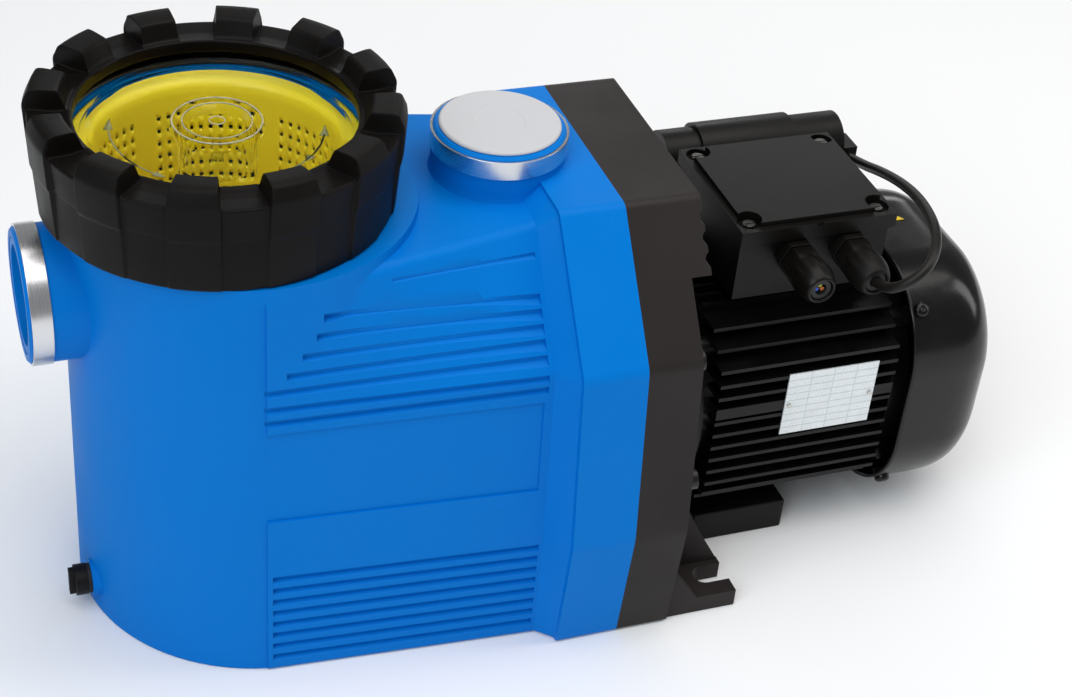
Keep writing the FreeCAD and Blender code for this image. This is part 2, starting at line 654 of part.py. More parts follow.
# ---------------------------------------------------------------- motor, standing parts
def front_shield():
    """Front end shield: round flange on the adaptor ring, bearing housing and motor spigot."""
    flange = rod_x(82.0, SHIELD_X0, SHIELD_X0 + 6).fuse(rod_x(74.0, SHIELD_X0, FRAME_X0 - 0.2))
    hollow = tube_x(68.0, 29.0, SHIELD_X0 + 6, FRAME_X0 + 1)
    seat = rod_x(23.5, 269, FRAME_X0 + 1).fuse(rod_x(17.0, 284, 290))
    way = rod_x(13.0, 255, 272)
    ears = []
    for y, z in TIE_PLACES:
        ears.append(rod_x(8.0, SHIELD_X0 + 6, FRAME_X0 - 0.2, y, z))
    shape = flange.cut(hollow).fuse(ears).cut([seat, way])
    return shape.cut([rod_x(2.6, SHIELD_X0 - 1, FRAME_X0 + 1, y, z) for y, z in TIE_PLACES])


TIE_PLACES = tuple((sy * TIE_REACH, SHAFT_Z + sz * TIE_REACH) for sy in (-1, 1) for sz in (-1, 1))


def motor_frame():
    """Extruded aluminium frame: thick tube with lengthways fins in a rounded square outline."""
    fins = []
    for k in range(-6, 8):
        z = SHAFT_Z + FIN_PITCH * k - 1.3
        past = abs(FIN_PITCH * k) - 46.0
        reach = FIN_REACH if past <= 0 else FIN_REACH - 0.95 * past
        inner = -40 if abs(k) < 6 else -5
        fin = block(FRAME_X0 + 6, FRAME_X1 - 2, -reach, inner, z, z + 2.6)
        fins += both_sides(fin)
    for k in range(-4, 5):
        y = FIN_PITCH * k - 1.3
        fins.append(block(FRAME_X0 + 6, FRAME_X1 - 2, y, y + 2.6, 22.2, SHAFT_Z - 50))
        fins.append(block(FRAME_X0 + 6, FRAME_X1 - 2, y, y + 2.6, SHAFT_Z + 50, 170.0))
    pad = block(FRAME_X0 + 6, FRAME_X1 - 2, -FIN_REACH, -40, 109.0, 117.0)
    box_pad = block(BOX_X0 + 6, BOX_X1 - 6, -36, 36, 150, BOX_Z0)
    ears = []
    for y, z in TIE_PLACES:
        ears.append(rod_x(7.0, FRAME_X0, FRAME_X1, y, z))
    shape = rod_x(68.0, FRAME_X0, FRAME_X1).fuse(fins + [pad, box_pad] + ears)
    shape = shape.cut([rod_x(STATOR_R, FRAME_X0 - 1, FRAME_X1 + 1)])
    return shape.cut([rod_x(2.6, FRAME_X0 - 1, FRAME_X1 + 1, y, z) for y, z in TIE_PLACES]).removeSplitter()


def stator_core():
    return tube_x(STATOR_R - SEAT, ROTOR_R + 0.6, CORE_X0, CORE_X1)


def stator_windings():
    rings = []
    for x0, x1 in ((CORE_X0 - 13.5, CORE_X0 - SEAT), (CORE_X1 + SEAT, CORE_X1 + 13.0)):
        profile = ((x0 + 1, 41), (x0, 43), (x0, 55), (x0 + 1, 57), (x1 - 1, 57), (x1, 55), (x1, 43),
                   (x1 - 1, 41))
        rings.append(turned_x(profile))
    return Part.makeCompound(rings)


def corner_rods(r, low, high):
    """Four rods that stand out from the shaft axis towards the corners of the fan cover."""
    return around_x(rod_z(r, SHAFT_Z + low, SHAFT_Z + high, COVER_SCREW_X), 4, 45)


def rear_shield():
    """Rear end shield inside the fan cover: bearing housing, tie bolt ears and lugs for the cover."""
    plate = rod_x(74.0, FRAME_X1 + 0.2, SHIELD_X1)
    hollow = tube_x(66.0, 26.0, FRAME_X1 - 1, SHIELD_X1 - 6)
    seat = rod_x(20.0, FRAME_X1 - 1, SHIELD_X1 - 0.4)
    way = rod_x(9.5, FRAME_X1, SHIELD_X1 + 5)
    ears = [rod_x(8.0, FRAME_X1 + 0.2, SHIELD_X1, y, z) for y, z in TIE_PLACES]
    shape = plate.cut(hollow).fuse(ears + corner_rods(6.0, 78.0, 84.5)).cut([seat, way])
    holes = [rod_x(2.6, FRAME_X1 - 1, SHIELD_X1 + 10, y, z) for y, z in TIE_PLACES]
    return shape.cut(holes + corner_rods(2.2, 77.0, 90.0))


def tie_bolts():
    rods = []
    for y, z in TIE_PLACES:
        rod = rod_x(2.5, SHIELD_X0 + 1, SHIELD_X1 + 0.5, y, z)
        rods.append(rod.fuse(hexagon_x(8.0, SHIELD_X1 + 0.1, SHIELD_X1 + 4, y, z)))
    return Part.makeCompound(rods)


def cover_shell(inset, x_start):
    """Solid of the fan cover's outside, or of its inside when inset is the wall thickness."""
    stations = ((COVER_X0, 0.0), (COVER_X1, 0.0), (473.0, 3.5), (481.0, 10.0), (487.0, 19.0), (489.5, 27.0))
    wires = []
    for x, drop in stations:
        half = COVER_HALF - inset - drop
        place = x_start if x == COVER_X0 else x - inset
        wires.append(rounded_square(half, 59.0 - inset - drop, place))
    return Part.makeLoft(wires, True, True)


def fan_cover():
    shape = cover_shell(0.0, COVER_X0).fuse(rod_x(57.0, 488, GRILLE_X))
    shape = shape.cut([cover_shell(COVER_WALL, COVER_X0 - 1), rod_x(54.6, 485, GRILLE_X - COVER_WALL)])
    slots = []
    for inner, outer, count in ((14.0, 30.0, 16), (34.0, 51.0, 28)):
        slot = block(490, 500, -2.0, 2.0, SHAFT_Z + inner, SHAFT_Z + outer)
        slots += around_x(slot, count)
    tab = block(423, 435, -66, -54, 16.0, 24.5)
    shape = shape.cut(Part.makeCompound(slots)).fuse(corner_rods(6.5, 85.0, 97.5) + [tab])
    return shape.cut(corner_rods(2.3, 70.0, 99.0))


def cover_screws():
    shanks = corner_rods(2.1, 79.0, 98.0)
    heads = corner_rods(4.4, 97.6, 99.8)
    slot = block(COVER_SCREW_X - 5, COVER_SCREW_X + 5, -0.5, 0.5, SHAFT_Z + 98.8, SHAFT_Z + 101)
    screws = []
    for shank, head, cut in zip(shanks, heads, around_x(slot, 4, 45)):
        screws.append(shank.fuse(head).cut(cut))
    return Part.makeCompound(screws)


# ---------------------------------------------------------------- terminal box, glands, capacitor
def terminal_box():
    shell = block(BOX_X0, BOX_X1, -BOX_HALF, BOX_HALF, BOX_Z0, BOX_Z1)
    hollow = block(BOX_X0 + 4, BOX_X1 - 4, -BOX_HALF + 4, BOX_HALF - 4, BOX_Z0 + 4, BOX_Z1 + 1)
    posts = [rod_z(5.5, BOX_Z0 + 3, BOX_Z1, x, y) for x, y in BOX_SCREWS]
    wires = rod_z(9.0, BOX_Z0 - 1, BOX_Z0 + 6, 356, 0)
    shape = shell.cut(hollow).fuse(posts).cut(wires)
    shape = shape.cut([rod_z(1.9, BOX_Z1 - 16, BOX_Z1 + 1, x, y) for x, y in BOX_SCREWS])
    return shape.cut([rod_y(8.0, -BOX_HALF - 1, -BOX_HALF + 6, x, GLAND_Z) for x in GLAND_X])


BOX_SCREWS = tuple((x, y) for x in (BOX_X0 + 7, BOX_X1 - 7) for y in (-BOX_HALF + 7, BOX_HALF - 7))


def terminal_gasket():
    outer = block(BOX_X0 + 1, BOX_X1 - 1, -BOX_HALF + 1, BOX_HALF - 1, BOX_Z1, BOX_Z1 + 1.5)
    inner = block(BOX_X0 + 14, BOX_X1 - 14, -BOX_HALF + 5, BOX_HALF - 5, BOX_Z1 - 1, BOX_Z1 + 3)
    shape = outer.cut(inner)
    return shape.cut([rod_z(2.3, BOX_Z1 - 1, BOX_Z1 + 3, x, y) for x, y in BOX_SCREWS])


def terminal_cover():
    """Box lid with an overhanging skirt, a raised middle plate and four round screw pockets."""
    low = BOX_Z1 + 1.5
    top = LID_Z1 - 3.0
    plate = block(BOX_X0 - 2, BOX_X1 + 2, -BOX_HALF - 4, BOX_HALF + 2, low, top)
    raised = block(BOX_X0 + 2, BOX_X1 - 2, -BOX_HALF + 1, BOX_HALF - 3, top - 1, LID_Z1)
    shape = plate.fuse(raised)
    pockets = []
    for x, y in BOX_SCREWS:
        pockets.append(rod_z(7.5, top - 3.5, LID_Z1 + 1, x, y))
        pockets.append(rod_z(2.3, low - 1, LID_Z1, x, y))
    hollow = block(BOX_X0 + 15, BOX_X1 - 15, -BOX_HALF + 6, BOX_HALF - 6, low - 1, LID_Z1 - 3)
    notch = rod_y(2.2, -BOX_HALF - 5, -BOX_HALF - 2.4, 356, top)
    return shape.cut(pockets + [hollow, notch])


def terminal_cover_screws():
    screws = []
    head_low = LID_Z1 - 6.4
    for x, y in BOX_SCREWS:
        screw = rod_z(1.8, BOX_Z1 - 14, head_low + 1, x, y).fuse(rod_z(3.9, head_low, head_low + 2.8, x, y))
        slot = block(x - 5, x + 5, y - 0.5, y + 0.5, head_low + 1.6, head_low + 4)
        screws.append(screw.cut(slot))
    return Part.makeCompound(screws)


def terminal_block():
    base = block(330, 382, -16, 16, BOX_Z0 + 4.05, BOX_Z0 + 14)
    posts = []
    for k in range(3):
        for y in (-8, 8):
            posts.append(rod_z(3.0, BOX_Z0 + 13, BOX_Z0 + 22, 340 + 16 * k, y))
    return base.fuse(posts)


def gland_body(x):
    thread = tube_y(8.0 - SEAT, 5.4, -BOX_HALF - 1, -BOX_HALF + 9, x, GLAND_Z)
    flats = hexagon_y(22.0, -BOX_HALF - 8, -BOX_HALF - 0.02, x, GLAND_Z)
    collar = rod_y(9.0, -BOX_HALF - 17, -BOX_HALF - 7, x, GLAND_Z)
    bore = rod_y(5.4, -BOX_HALF - 30, -BOX_HALF + 10, x, GLAND_Z)
    return thread.fuse([flats, collar]).cut(bore)


def tube_y(ro, ri, y0, y1, x, z):
    return rod_y(ro, y0, y1, x, z).cut(rod_y(ri, y0 - 1, y1 + 1, x, z))


def gland_nut(x):
    """Domed clamping nut of a cable gland, hexagonal at the back."""
    back = hexagon_y(22.0, -BOX_HALF - 22, -BOX_HALF - 9, x, GLAND_Z)
    dome = rod_y(11.0, -BOX_HALF - 36, -BOX_HALF - 21, x, GLAND_Z)
    nose = rod_y(8.8, -BOX_HALF - 41, -BOX_HALF - 35, x, GLAND_Z)
    shape = back.fuse([dome, nose])
    hollow = rod_y(9.0 + SEAT, -BOX_HALF - 30, -BOX_HALF - 8, x, GLAND_Z)
    mouth = rod_y(6.6, -BOX_HALF - 42, -BOX_HALF - 29, x, GLAND_Z)
    return shape.cut([hollow, mouth])


def gland_seal(x):
    return tube_y(6.5, 3.8, -BOX_HALF - 39.5, -BOX_HALF - 22, x, GLAND_Z)


def supply_conductors():
    """Cut ends of three supply conductors, seen inside the mouth of the first gland."""
    wires = []
    for dx, dz in ((-1.8, -0.9), (1.8, -0.9), (0.0, 1.9)):
        wires.append(rod_y(1.3, -BOX_HALF - 37.5, -BOX_HALF + 12, GLAND_X[0] + dx, GLAND_Z + dz))
    return wires


def capacitor():
    can = rod_x(CAPACITOR_R, 302, 427, CAPACITOR_Y, CAPACITOR_Z)
    boot = block(426, 441, 61.0, 79.0, 190.0, 204.0)
    return can.fuse(boot)


def capacitor_clip():
    """Band round the capacitor with a foot that is screwed to the side of the terminal box."""
    band = tube_x(CAPACITOR_R + 2.4, CAPACITOR_R + SEAT, 326, 392, CAPACITOR_Y, CAPACITOR_Z)
    foot = block(334, 384, BOX_HALF + 0.05, CAPACITOR_Y - CAPACITOR_R + 1, CAPACITOR_Z - 12, BOX_Z1 - 1)
    shape = band.fuse(foot)
    return shape.cut(rod_x(CAPACITOR_R + SEAT, 320, 400, CAPACITOR_Y, CAPACITOR_Z))


def capacitor_lead():
    """Round lead: straight runs joined by tangent arcs that are as large as their runs allow."""
    points = [V(*p) for p in LEAD_ROUTE]
    edges = []
    here = points[0]
    length = 0.0
    for before, corner, after in zip(points, points[1:], points[2:]):
        back = before - corner
        ahead = after - corner
        half = back.getAngle(ahead) / 2
        turn_half = math.pi / 2 - half
        radius = 0.45 * min(back.Length, ahead.Length) / math.tan(turn_half)
        reach = radius / math.tan(half)
        back.normalize()
        ahead.normalize()
        middle = (back + ahead).normalize()
        start = corner + back * reach
        end = corner + ahead * reach
        top = corner + middle * (radius / math.sin(half) - radius)
        edges.append(Part.LineSegment(here, start).toShape())
        edges.append(Part.Arc(start, top, end).toShape())
        length += (start - here).Length + radius * 2 * turn_half
        print("lead radius", round(radius, 1), "turn", round(math.degrees(2 * turn_half)))
        here = end
    edges.append(Part.LineSegment(here, points[-1]).toShape())
    length += (points[-1] - here).Length
    path = Part.Wire(edges)
    section = Part.Wire(Part.makeCircle(LEAD_R, points[0], points[1] - points[0]))
    tube = path.makePipeShell([section], True, False)
    expected = math.pi * LEAD_R ** 2 * length
    print("lead length", round(length, 1), "volume", round(tube.Volume), "expected", round(expected))
    return tube


# ---------------------------------------------------------------- small trim
def name_plate():
    return block(337, 399, -FIN_REACH - 1.0, -FIN_REACH, 90.0, 137.0)


def name_plate_rivets():
    rivets = []
    for x in (340.0, 396.0):
        rivets.append(Part.makeCylinder(1.5, 1.2, V(x, -FIN_REACH - 1.0, 113.0), V(0, -1, 0)))
    return Part.makeCompound(rivets)


def motor_support():
    base = block(293, 358, -68, 68, 0, 22)
    hollow = block(300, 351, -61, 61, -1, 16)
    return base.cut(hollow)


def cover_sticker():
    """Small plain triangle on top of the fan cover."""
    top = SHAFT_Z + COVER_HALF
    points = [V(435, 5, top), V(451, 5, top), V(443, 18, top)]
    return Part.Face(Part.makePolygon(points + points[:1])).extrude(V(0, 0, 0.4))


def build():
    os.makedirs("parts", exist_ok=True)
    save("housing", housing())
    save("port_sockets", port_sockets())
    save("suction_ring", port_ring_suction())
    save("discharge_ring", port_ring_discharge())
    save("adaptor", adaptor())
    save("casing_o_ring", torus_x(86.0, 1.9, FLANGE_X1 + 1.95))
    save("casing_bolts", casing_bolts())
    save("diffuser", diffuser())
    save("seal_seat", seal_seat())
    save("seal_cup", seal_cup())
    save("lock_ring", lock_ring())
    save("clear_lid", clear_lid())
    save("lid_o_ring", lid_o_ring())
    save("strainer_basket", strainer_basket())
    save("drain_plug", drain_plug())
    save("drain_seal", drain_seal())
    save("transport_cap", transport_cap())
    save("impeller", impeller())
    save("impeller_key", impeller_key())
    save("impeller_nut", impeller_nut())
    save("seal_head", seal_head())
    save("shaft", shaft())
    save("rotor_core", rotor_core())
    save("water_slinger", slinger())
    for place, sizes in BEARINGS.items():
        inner, outer, balls, cage = bearing_pieces(sizes)
        save(place + "_bearing_inner_ring", inner)
        save(place + "_bearing_outer_ring", outer)
        save(place + "_bearing_balls", balls)
        save(place + "_bearing_cage", cage)
    save("cooling_fan", cooling_fan())
    save("fan_clip", fan_clip())
    save("front_end_shield", front_shield())
    save("motor_frame", motor_frame())
    save("stator_core", stator_core())
    save("stator_windings", stator_windings())
    save("rear_end_shield", rear_shield())
    save("tie_bolts", tie_bolts())
    save("fan_cover", fan_cover())
    save("fan_cover_screws", cover_screws())
    save("terminal_box", terminal_box())
    save("terminal_gasket", terminal_gasket())
    save("terminal_cover", terminal_cover())
    save("terminal_cover_screws", terminal_cover_screws())
    save("terminal_block", terminal_block())
    save("cable_glands", Part.makeCompound([gland_body(x) for x in GLAND_X]))
    save("gland_nuts", Part.makeCompound([gland_nut(x) for x in GLAND_X]))
    save("gland_seals", Part.makeCompound([gland_seal(x) for x in GLAND_X]))
    blue, brown, earth = supply_conductors()
    save("neutral_conductor", blue)
    save("live_conductor", brown)
    save("earth_conductor", earth)
    save("capacitor", capacitor())
    save("capacitor_clip", capacitor_clip())
    save("capacitor_lead", capacitor_lead())
    save("name_plate", name_plate())
    save("name_plate_rivets", name_plate_rivets())
    save("motor_support", motor_support())
    save("cover_sticker", cover_sticker())


build()
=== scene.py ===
# %% [markdown]
# # A self-priming pool pump
#
# The imported CAD model is the frame of this lesson: it says where every piece is and how it moves.
# Blender adds what the eye needs: rounded edges, the grain of the plastics, paint, glass and light.
# We start by loading the frame.

# %% Load the frame
import json
import math

import bmesh
import bpy
import numpy as np
from mathutils import Matrix, Vector


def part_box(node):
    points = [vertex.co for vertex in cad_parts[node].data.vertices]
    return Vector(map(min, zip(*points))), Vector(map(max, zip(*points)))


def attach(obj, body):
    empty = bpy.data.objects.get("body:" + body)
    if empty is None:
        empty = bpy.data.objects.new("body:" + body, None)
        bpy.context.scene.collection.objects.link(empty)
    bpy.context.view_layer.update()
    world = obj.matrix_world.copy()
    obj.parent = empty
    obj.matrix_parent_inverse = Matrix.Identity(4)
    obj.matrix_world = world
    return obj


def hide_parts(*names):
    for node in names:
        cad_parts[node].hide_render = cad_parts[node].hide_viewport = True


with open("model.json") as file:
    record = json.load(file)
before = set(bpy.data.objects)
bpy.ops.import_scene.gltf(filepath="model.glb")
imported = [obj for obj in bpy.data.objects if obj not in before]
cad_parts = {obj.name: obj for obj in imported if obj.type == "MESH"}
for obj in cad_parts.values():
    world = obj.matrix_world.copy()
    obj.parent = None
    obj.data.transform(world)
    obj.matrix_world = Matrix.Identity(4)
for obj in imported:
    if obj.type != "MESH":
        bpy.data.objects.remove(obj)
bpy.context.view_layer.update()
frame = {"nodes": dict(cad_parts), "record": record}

nodes = frame["nodes"]
body_of_node = {}
for body, members in frame["record"]["behaviour"]["bodies"].items():
    for member in members:
        body_of_node[member] = body
slot_of_node = {}
for entry in frame["record"]["subparts"]:
    slot_of_node[entry["node"]] = entry["material_slot"]

# %% [markdown]
# ## Camera, floor and light
#
# A long lens from a little above shows such a machine with little distortion. The camera is placed by the
# three directions of its own frame, which also roll it slightly. The floor is a large pale sheet. Four soft
# boxes give the long highlights that black enamel needs to show its shape. The sheet above is a little
# warm and the key light a little cool, so that top faces and front faces differ in tone.

# %% Axes of the object, read from the frame
MM = 0.001


def middle(node):
    low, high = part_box(node)
    return (low + high) / 2


strainer_axis = middle("clear_lid")
shaft_axis = middle("shaft")
print("strainer axis x", round(strainer_axis.x, 4), "shaft height", round(shaft_axis.z, 4))

# %% Camera
CAMERA_PLACE = (strainer_axis.x - 0.2082, -0.9582, 0.8945)
right = Vector((0.9389, -0.3345, 0.0813))
upward = Vector((0.1389, 0.5842, 0.7997))
forward = Vector((0.3150, 0.7395, -0.5949))
camera_data = bpy.data.cameras.new("camera")
camera_data.lens = 69.6
camera_data.sensor_width = 36.0
camera_data.clip_end = 50.0
camera = bpy.data.objects.new("camera", camera_data)
camera.matrix_world = Matrix((
    (right.x, upward.x, -forward.x, CAMERA_PLACE[0]),
    (right.y, upward.y, -forward.y, CAMERA_PLACE[1]),
    (right.z, upward.z, -forward.z, CAMERA_PLACE[2]),
    (0, 0, 0, 1),
))
bpy.context.scene.collection.objects.link(camera)
bpy.context.scene.camera = camera

# %% Floor, world and lamps
FLOOR_HALF = 6.0
FLOOR_TONE = 0.97
FLOOR_DROP = 0.0006


def link(obj):
    bpy.context.scene.collection.objects.link(obj)
    return obj


def plain_material(name, colour, roughness):
    material = bpy.data.materials.new(name)
    material.use_nodes = True
    shader = material.node_tree.nodes["Principled BSDF"]
    shader.inputs["Base Color"].default_value = (*colour, 1)
    shader.inputs["Roughness"].default_value = roughness
    return material


floor_mesh = bpy.data.meshes.new("floor")
corners = [(-1, -1), (1, -1), (1, 1), (-1, 1)]
floor_points = [(x * FLOOR_HALF, y * FLOOR_HALF, -FLOOR_DROP) for x, y in corners]
floor_mesh.from_pydata(floor_points, [], [(0, 1, 2, 3)])
floor = link(bpy.data.objects.new("floor", floor_mesh))
floor.data.materials.append(plain_material("floor_paper", (FLOOR_TONE,) * 3, 0.9))
bpy.context.scene.view_settings.view_transform = "Standard"

world = bpy.data.worlds.new("studio")
bpy.context.scene.world = world
world.use_nodes = True
backdrop = world.node_tree.nodes["Background"]
backdrop.inputs["Color"].default_value = (0.95, 0.975, 1.0, 1)
backdrop.inputs["Strength"].default_value = 0.26


def soft_box(name, place, target, size, power, tint=(1.0, 1.0, 1.0)):
    """A rectangular lamp of size (wide, high) at place that faces target and shines with the colour tint."""
    lamp = bpy.data.lights.new(name, "AREA")
    lamp.shape = "RECTANGLE"
    lamp.size, lamp.size_y = size
    lamp.energy = power
    lamp.color = tint
    obj = link(bpy.data.objects.new(name, lamp))
    obj.location = place
    obj.rotation_euler = (Vector(target) - Vector(place)).to_track_quat("-Z", "Y").to_euler()
    return obj


soft_box("key_left", (-1.7, -1.4, 2.0), (0.0, 0, 0.1), (1.8, 1.6), 33, (0.86, 0.94, 1.0))
soft_box("top_sheet", (0.3, -0.2, 2.6), (0.1, 0, 0.1), (2.6, 2.2), 42, (1.0, 0.97, 0.95))
soft_box("right_strip", (1.9, -0.5, 1.2), (0.2, 0, 0.12), (0.5, 1.5), 9)
soft_box("back_strip", (0.9, 1.9, 0.9), (0.2, 0, 0.15), (1.6, 0.3), 5)

# %% [markdown]
# ## The capacitor's lead
#
# A soft rubber lead leaves the second cable gland, bows round the corner of the terminal box and dips into
# the end of the capacitor. A NURBS curve of order 3 bends like such a lead: smoothly, without
# overshoot, and always a little inside its control points.

# %% Route and curve
LEAD_RADIUS = 0.0033
LEAD_ROUTE = [
    (0.1865, -0.0840, 0.2050), (0.1868, -0.0965, 0.2070), (0.1920, -0.1060, 0.2150),
    (0.2035, -0.1075, 0.2235), (0.2150, -0.0980, 0.2290), (0.2245, -0.0815, 0.2315),
    (0.2315, -0.0595, 0.2310), (0.2365, -0.0340, 0.2275), (0.2390, -0.0085, 0.2215),
    (0.2405, 0.0170, 0.2130), (0.2410, 0.0400, 0.2040), (0.2420, 0.0610, 0.1975),
]


def round_lead(name, route, radius):
    """Curve along the route with a round section: a bevel depth of 1 is scaled by each point's radius."""
    curve = bpy.data.curves.new(name, "CURVE")
    curve.dimensions = "3D"
    spline = curve.splines.new("NURBS")
    spline.points.add(len(route) - 1)
    for point, place in zip(spline.points, route):
        point.co = (*place, 1)
        point.radius = radius
    spline.order_u = 3
    spline.use_endpoint_u = True
    curve.resolution_u = 16
    curve.bevel_depth = 1.0
    curve.bevel_resolution = 5
    curve.use_fill_caps = True
    return link(bpy.data.objects.new(name, curve))


lead = round_lead("lead_cord", LEAD_ROUTE, LEAD_RADIUS)
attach(lead, "pump_body")
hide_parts("capacitor_lead")
print("lead control points", len(LEAD_ROUTE))

# %% [markdown]
# ## Shared surface effects
#
# Every moulded or painted piece has a texture that only shows in its highlights. A node group is a small
# machine for such an effect: it has named inputs, and it puts out a height for a Bump node, a roughness and a
# tint. We build each one once and place it in many materials. Object coordinates are used everywhere,
# so that a pattern has the same size on a large housing and on a small nut.

# %% A helper that makes an empty node group with named sockets
def new_group(name, inputs, outputs):
    """inputs and outputs are lists of (socket name, socket type, default value)."""
    tree = bpy.data.node_groups.new(name, "ShaderNodeTree")
    for label, kind, value in inputs:
        socket = tree.interface.new_socket(label, in_out="INPUT", socket_type=kind)
        if value is not None:
            socket.default_value = value
    for label, kind in outputs:
        tree.interface.new_socket(label, in_out="OUTPUT", socket_type=kind)
    return tree, tree.nodes.new("NodeGroupInput"), tree.nodes.new("NodeGroupOutput")


def add_node(tree, kind, **settings):
    node = tree.nodes.new(kind)
    for name, value in settings.items():
        setattr(node, name, value)
    return node


def math_node(tree, operation, a, b=None):
    node = add_node(tree, "ShaderNodeMath", operation=operation)
    for place, value in enumerate((a, b)):
        if value is None:
            continue
        if isinstance(value, (int, float)):
            node.inputs[place].default_value = value
        else:
            tree.links.new(value, node.inputs[place])
    return node.outputs[0]


def noise(tree, vector, scale, detail=3.0, rough=0.55):
    node = add_node(tree, "ShaderNodeTexNoise")
    node.inputs["Scale"].default_value = scale
    node.inputs["Detail"].default_value = detail
    node.inputs["Roughness"].default_value = rough
    tree.links.new(vector, node.inputs["Vector"])
    return node.outputs["Fac"]


def remap(tree, value, low, high, to_low, to_high):
    node = add_node(tree, "ShaderNodeMapRange", interpolation_type="SMOOTHSTEP")
    tree.links.new(value, node.inputs["Value"])
    for label, number in (("From Min", low), ("From Max", high), ("To Min", to_low), ("To Max", to_high)):
        node.inputs[label].default_value = number
    return node.outputs["Result"]


# %% Moulded grain: fine bumps, faint flow marks and a few light scuffs
def moulded_grain():
    """Height = fine noise + coarser noise. Roughness = base + cloudy change. Tint = slow cloudy change."""
    tree, inside, out = new_group(
        "moulded_grain",
        [("Vector", "NodeSocketVector", None), ("Roughness", "NodeSocketFloat", 0.45),
         ("Cloud", "NodeSocketFloat", 0.06)],
        [("Height", "NodeSocketFloat"), ("Roughness", "NodeSocketFloat"), ("Tint", "NodeSocketFloat"),
         ("Scuff", "NodeSocketFloat")],
    )
    vector = inside.outputs["Vector"]
    fine = noise(tree, vector, 2600.0, 2.0)
    coarse = noise(tree, vector, 700.0, 3.0)
    fine_share = math_node(tree, "MULTIPLY", fine, 0.6)
    coarse_share = math_node(tree, "MULTIPLY", coarse, 0.4)
    height = math_node(tree, "ADD", fine_share, coarse_share)
    cloud = noise(tree, vector, 9.0, 4.0)
    spread = math_node(tree, "MULTIPLY", math_node(tree, "SUBTRACT", cloud, 0.5), inside.outputs["Cloud"])
    rough = math_node(tree, "ADD", inside.outputs["Roughness"], math_node(tree, "MULTIPLY", spread, 2.0))
    stretch = add_node(tree, "ShaderNodeMapping", vector_type="POINT")
    stretch.inputs["Rotation"].default_value = (0.3, 0.5, 0.9)
    stretch.inputs["Scale"].default_value = (40.0, 420.0, 160.0)
    tree.links.new(vector, stretch.inputs["Vector"])
    scratch = noise(tree, stretch.outputs["Vector"], 1.0, 2.0)
    scuff = remap(tree, scratch, 0.70, 0.80, 0.0, 1.0)
    tree.links.new(height, out.inputs["Height"])
    tree.links.new(rough, out.inputs["Roughness"])
    tree.links.new(math_node(tree, "ADD", spread, 0.5), out.inputs["Tint"])
    tree.links.new(scuff, out.inputs["Scuff"])
    return tree


GRAIN = moulded_grain()


# %% Enamel: the orange peel of sprayed paint over cast or drawn metal
def enamel_skin():
    """Height = broad soft noise, as of paint that flowed out. Roughness changes slowly over the surface."""
    tree, inside, out = new_group(
        "enamel_skin",
        [("Vector", "NodeSocketVector", None), ("Roughness", "NodeSocketFloat", 0.25)],
        [("Height", "NodeSocketFloat"), ("Roughness", "NodeSocketFloat"), ("Dust", "NodeSocketFloat")],
    )
    vector = inside.outputs["Vector"]
    peel = noise(tree, vector, 420.0, 1.5)
    patch = noise(tree, vector, 22.0, 4.0)
    rough = math_node(tree, "ADD", inside.outputs["Roughness"], remap(tree, patch, 0.35, 0.75, -0.04, 0.10))
    dust = remap(tree, noise(tree, vector, 60.0, 5.0), 0.55, 0.8, 0.0, 0.35)
    tree.links.new(peel, out.inputs["Height"])
    tree.links.new(rough, out.inputs["Roughness"])
    tree.links.new(dust, out.inputs["Dust"])
    return tree


ENAMEL = enamel_skin()


# %% Turned metal: fine rings left by the tool, given as stretched noise round one axis
def turned_metal():
    """Height = noise of (distance along the axis, radius), both scaled up, so lines run round the axis."""
    tree, inside, out = new_group(
        "turned_metal",
        [("Vector", "NodeSocketVector", None), ("Centre", "NodeSocketVector", None),
         ("Roughness", "NodeSocketFloat", 0.25)],
        [("Height", "NodeSocketFloat"), ("Roughness", "NodeSocketFloat"), ("Shade", "NodeSocketFloat")],
    )
    away = add_node(tree, "ShaderNodeVectorMath", operation="SUBTRACT")
    tree.links.new(inside.outputs["Vector"], away.inputs[0])
    tree.links.new(inside.outputs["Centre"], away.inputs[1])
    split = add_node(tree, "ShaderNodeSeparateXYZ")
    tree.links.new(away.outputs["Vector"], split.inputs["Vector"])
    y_squared = math_node(tree, "POWER", split.outputs["Y"], 2.0)
    z_squared = math_node(tree, "POWER", split.outputs["Z"], 2.0)
    radius = math_node(tree, "SQRT", math_node(tree, "ADD", y_squared, z_squared))
    lines = add_node(tree, "ShaderNodeCombineXYZ")
    tree.links.new(math_node(tree, "MULTIPLY", split.outputs["X"], 9000.0), lines.inputs["X"])
    tree.links.new(math_node(tree, "MULTIPLY", radius, 4000.0), lines.inputs["Y"])
    rings = noise(tree, lines.outputs["Vector"], 1.0, 2.0)
    tree.links.new(rings, out.inputs["Height"])
    rough = math_node(tree, "ADD", inside.outputs["Roughness"], remap(tree, rings, 0.3, 0.7, -0.06, 0.08))
    tree.links.new(rough, out.inputs["Roughness"])
    tree.links.new(remap(tree, rings, 0.3, 0.7, 0.82, 1.0), out.inputs["Shade"])
    return tree


TURNED = turned_metal()
print("node groups", [g.name for g in bpy.data.node_groups])

# %% [markdown]
# ## Materials
#
# Each finish gets a short function. The Principled shader and its plain values stay in the material itself,
# and only what changes over the surface comes from the groups: colour, roughness and the height of the bump.

# %% Building blocks for a material
def start_material(name):
    material = bpy.data.materials.new(name)
    material.use_nodes = True
    tree = material.node_tree
    shader = tree.nodes["Principled BSDF"]
    coordinates = add_node(tree, "ShaderNodeTexCoord")
    return material, tree, shader, coordinates.outputs["Object"]


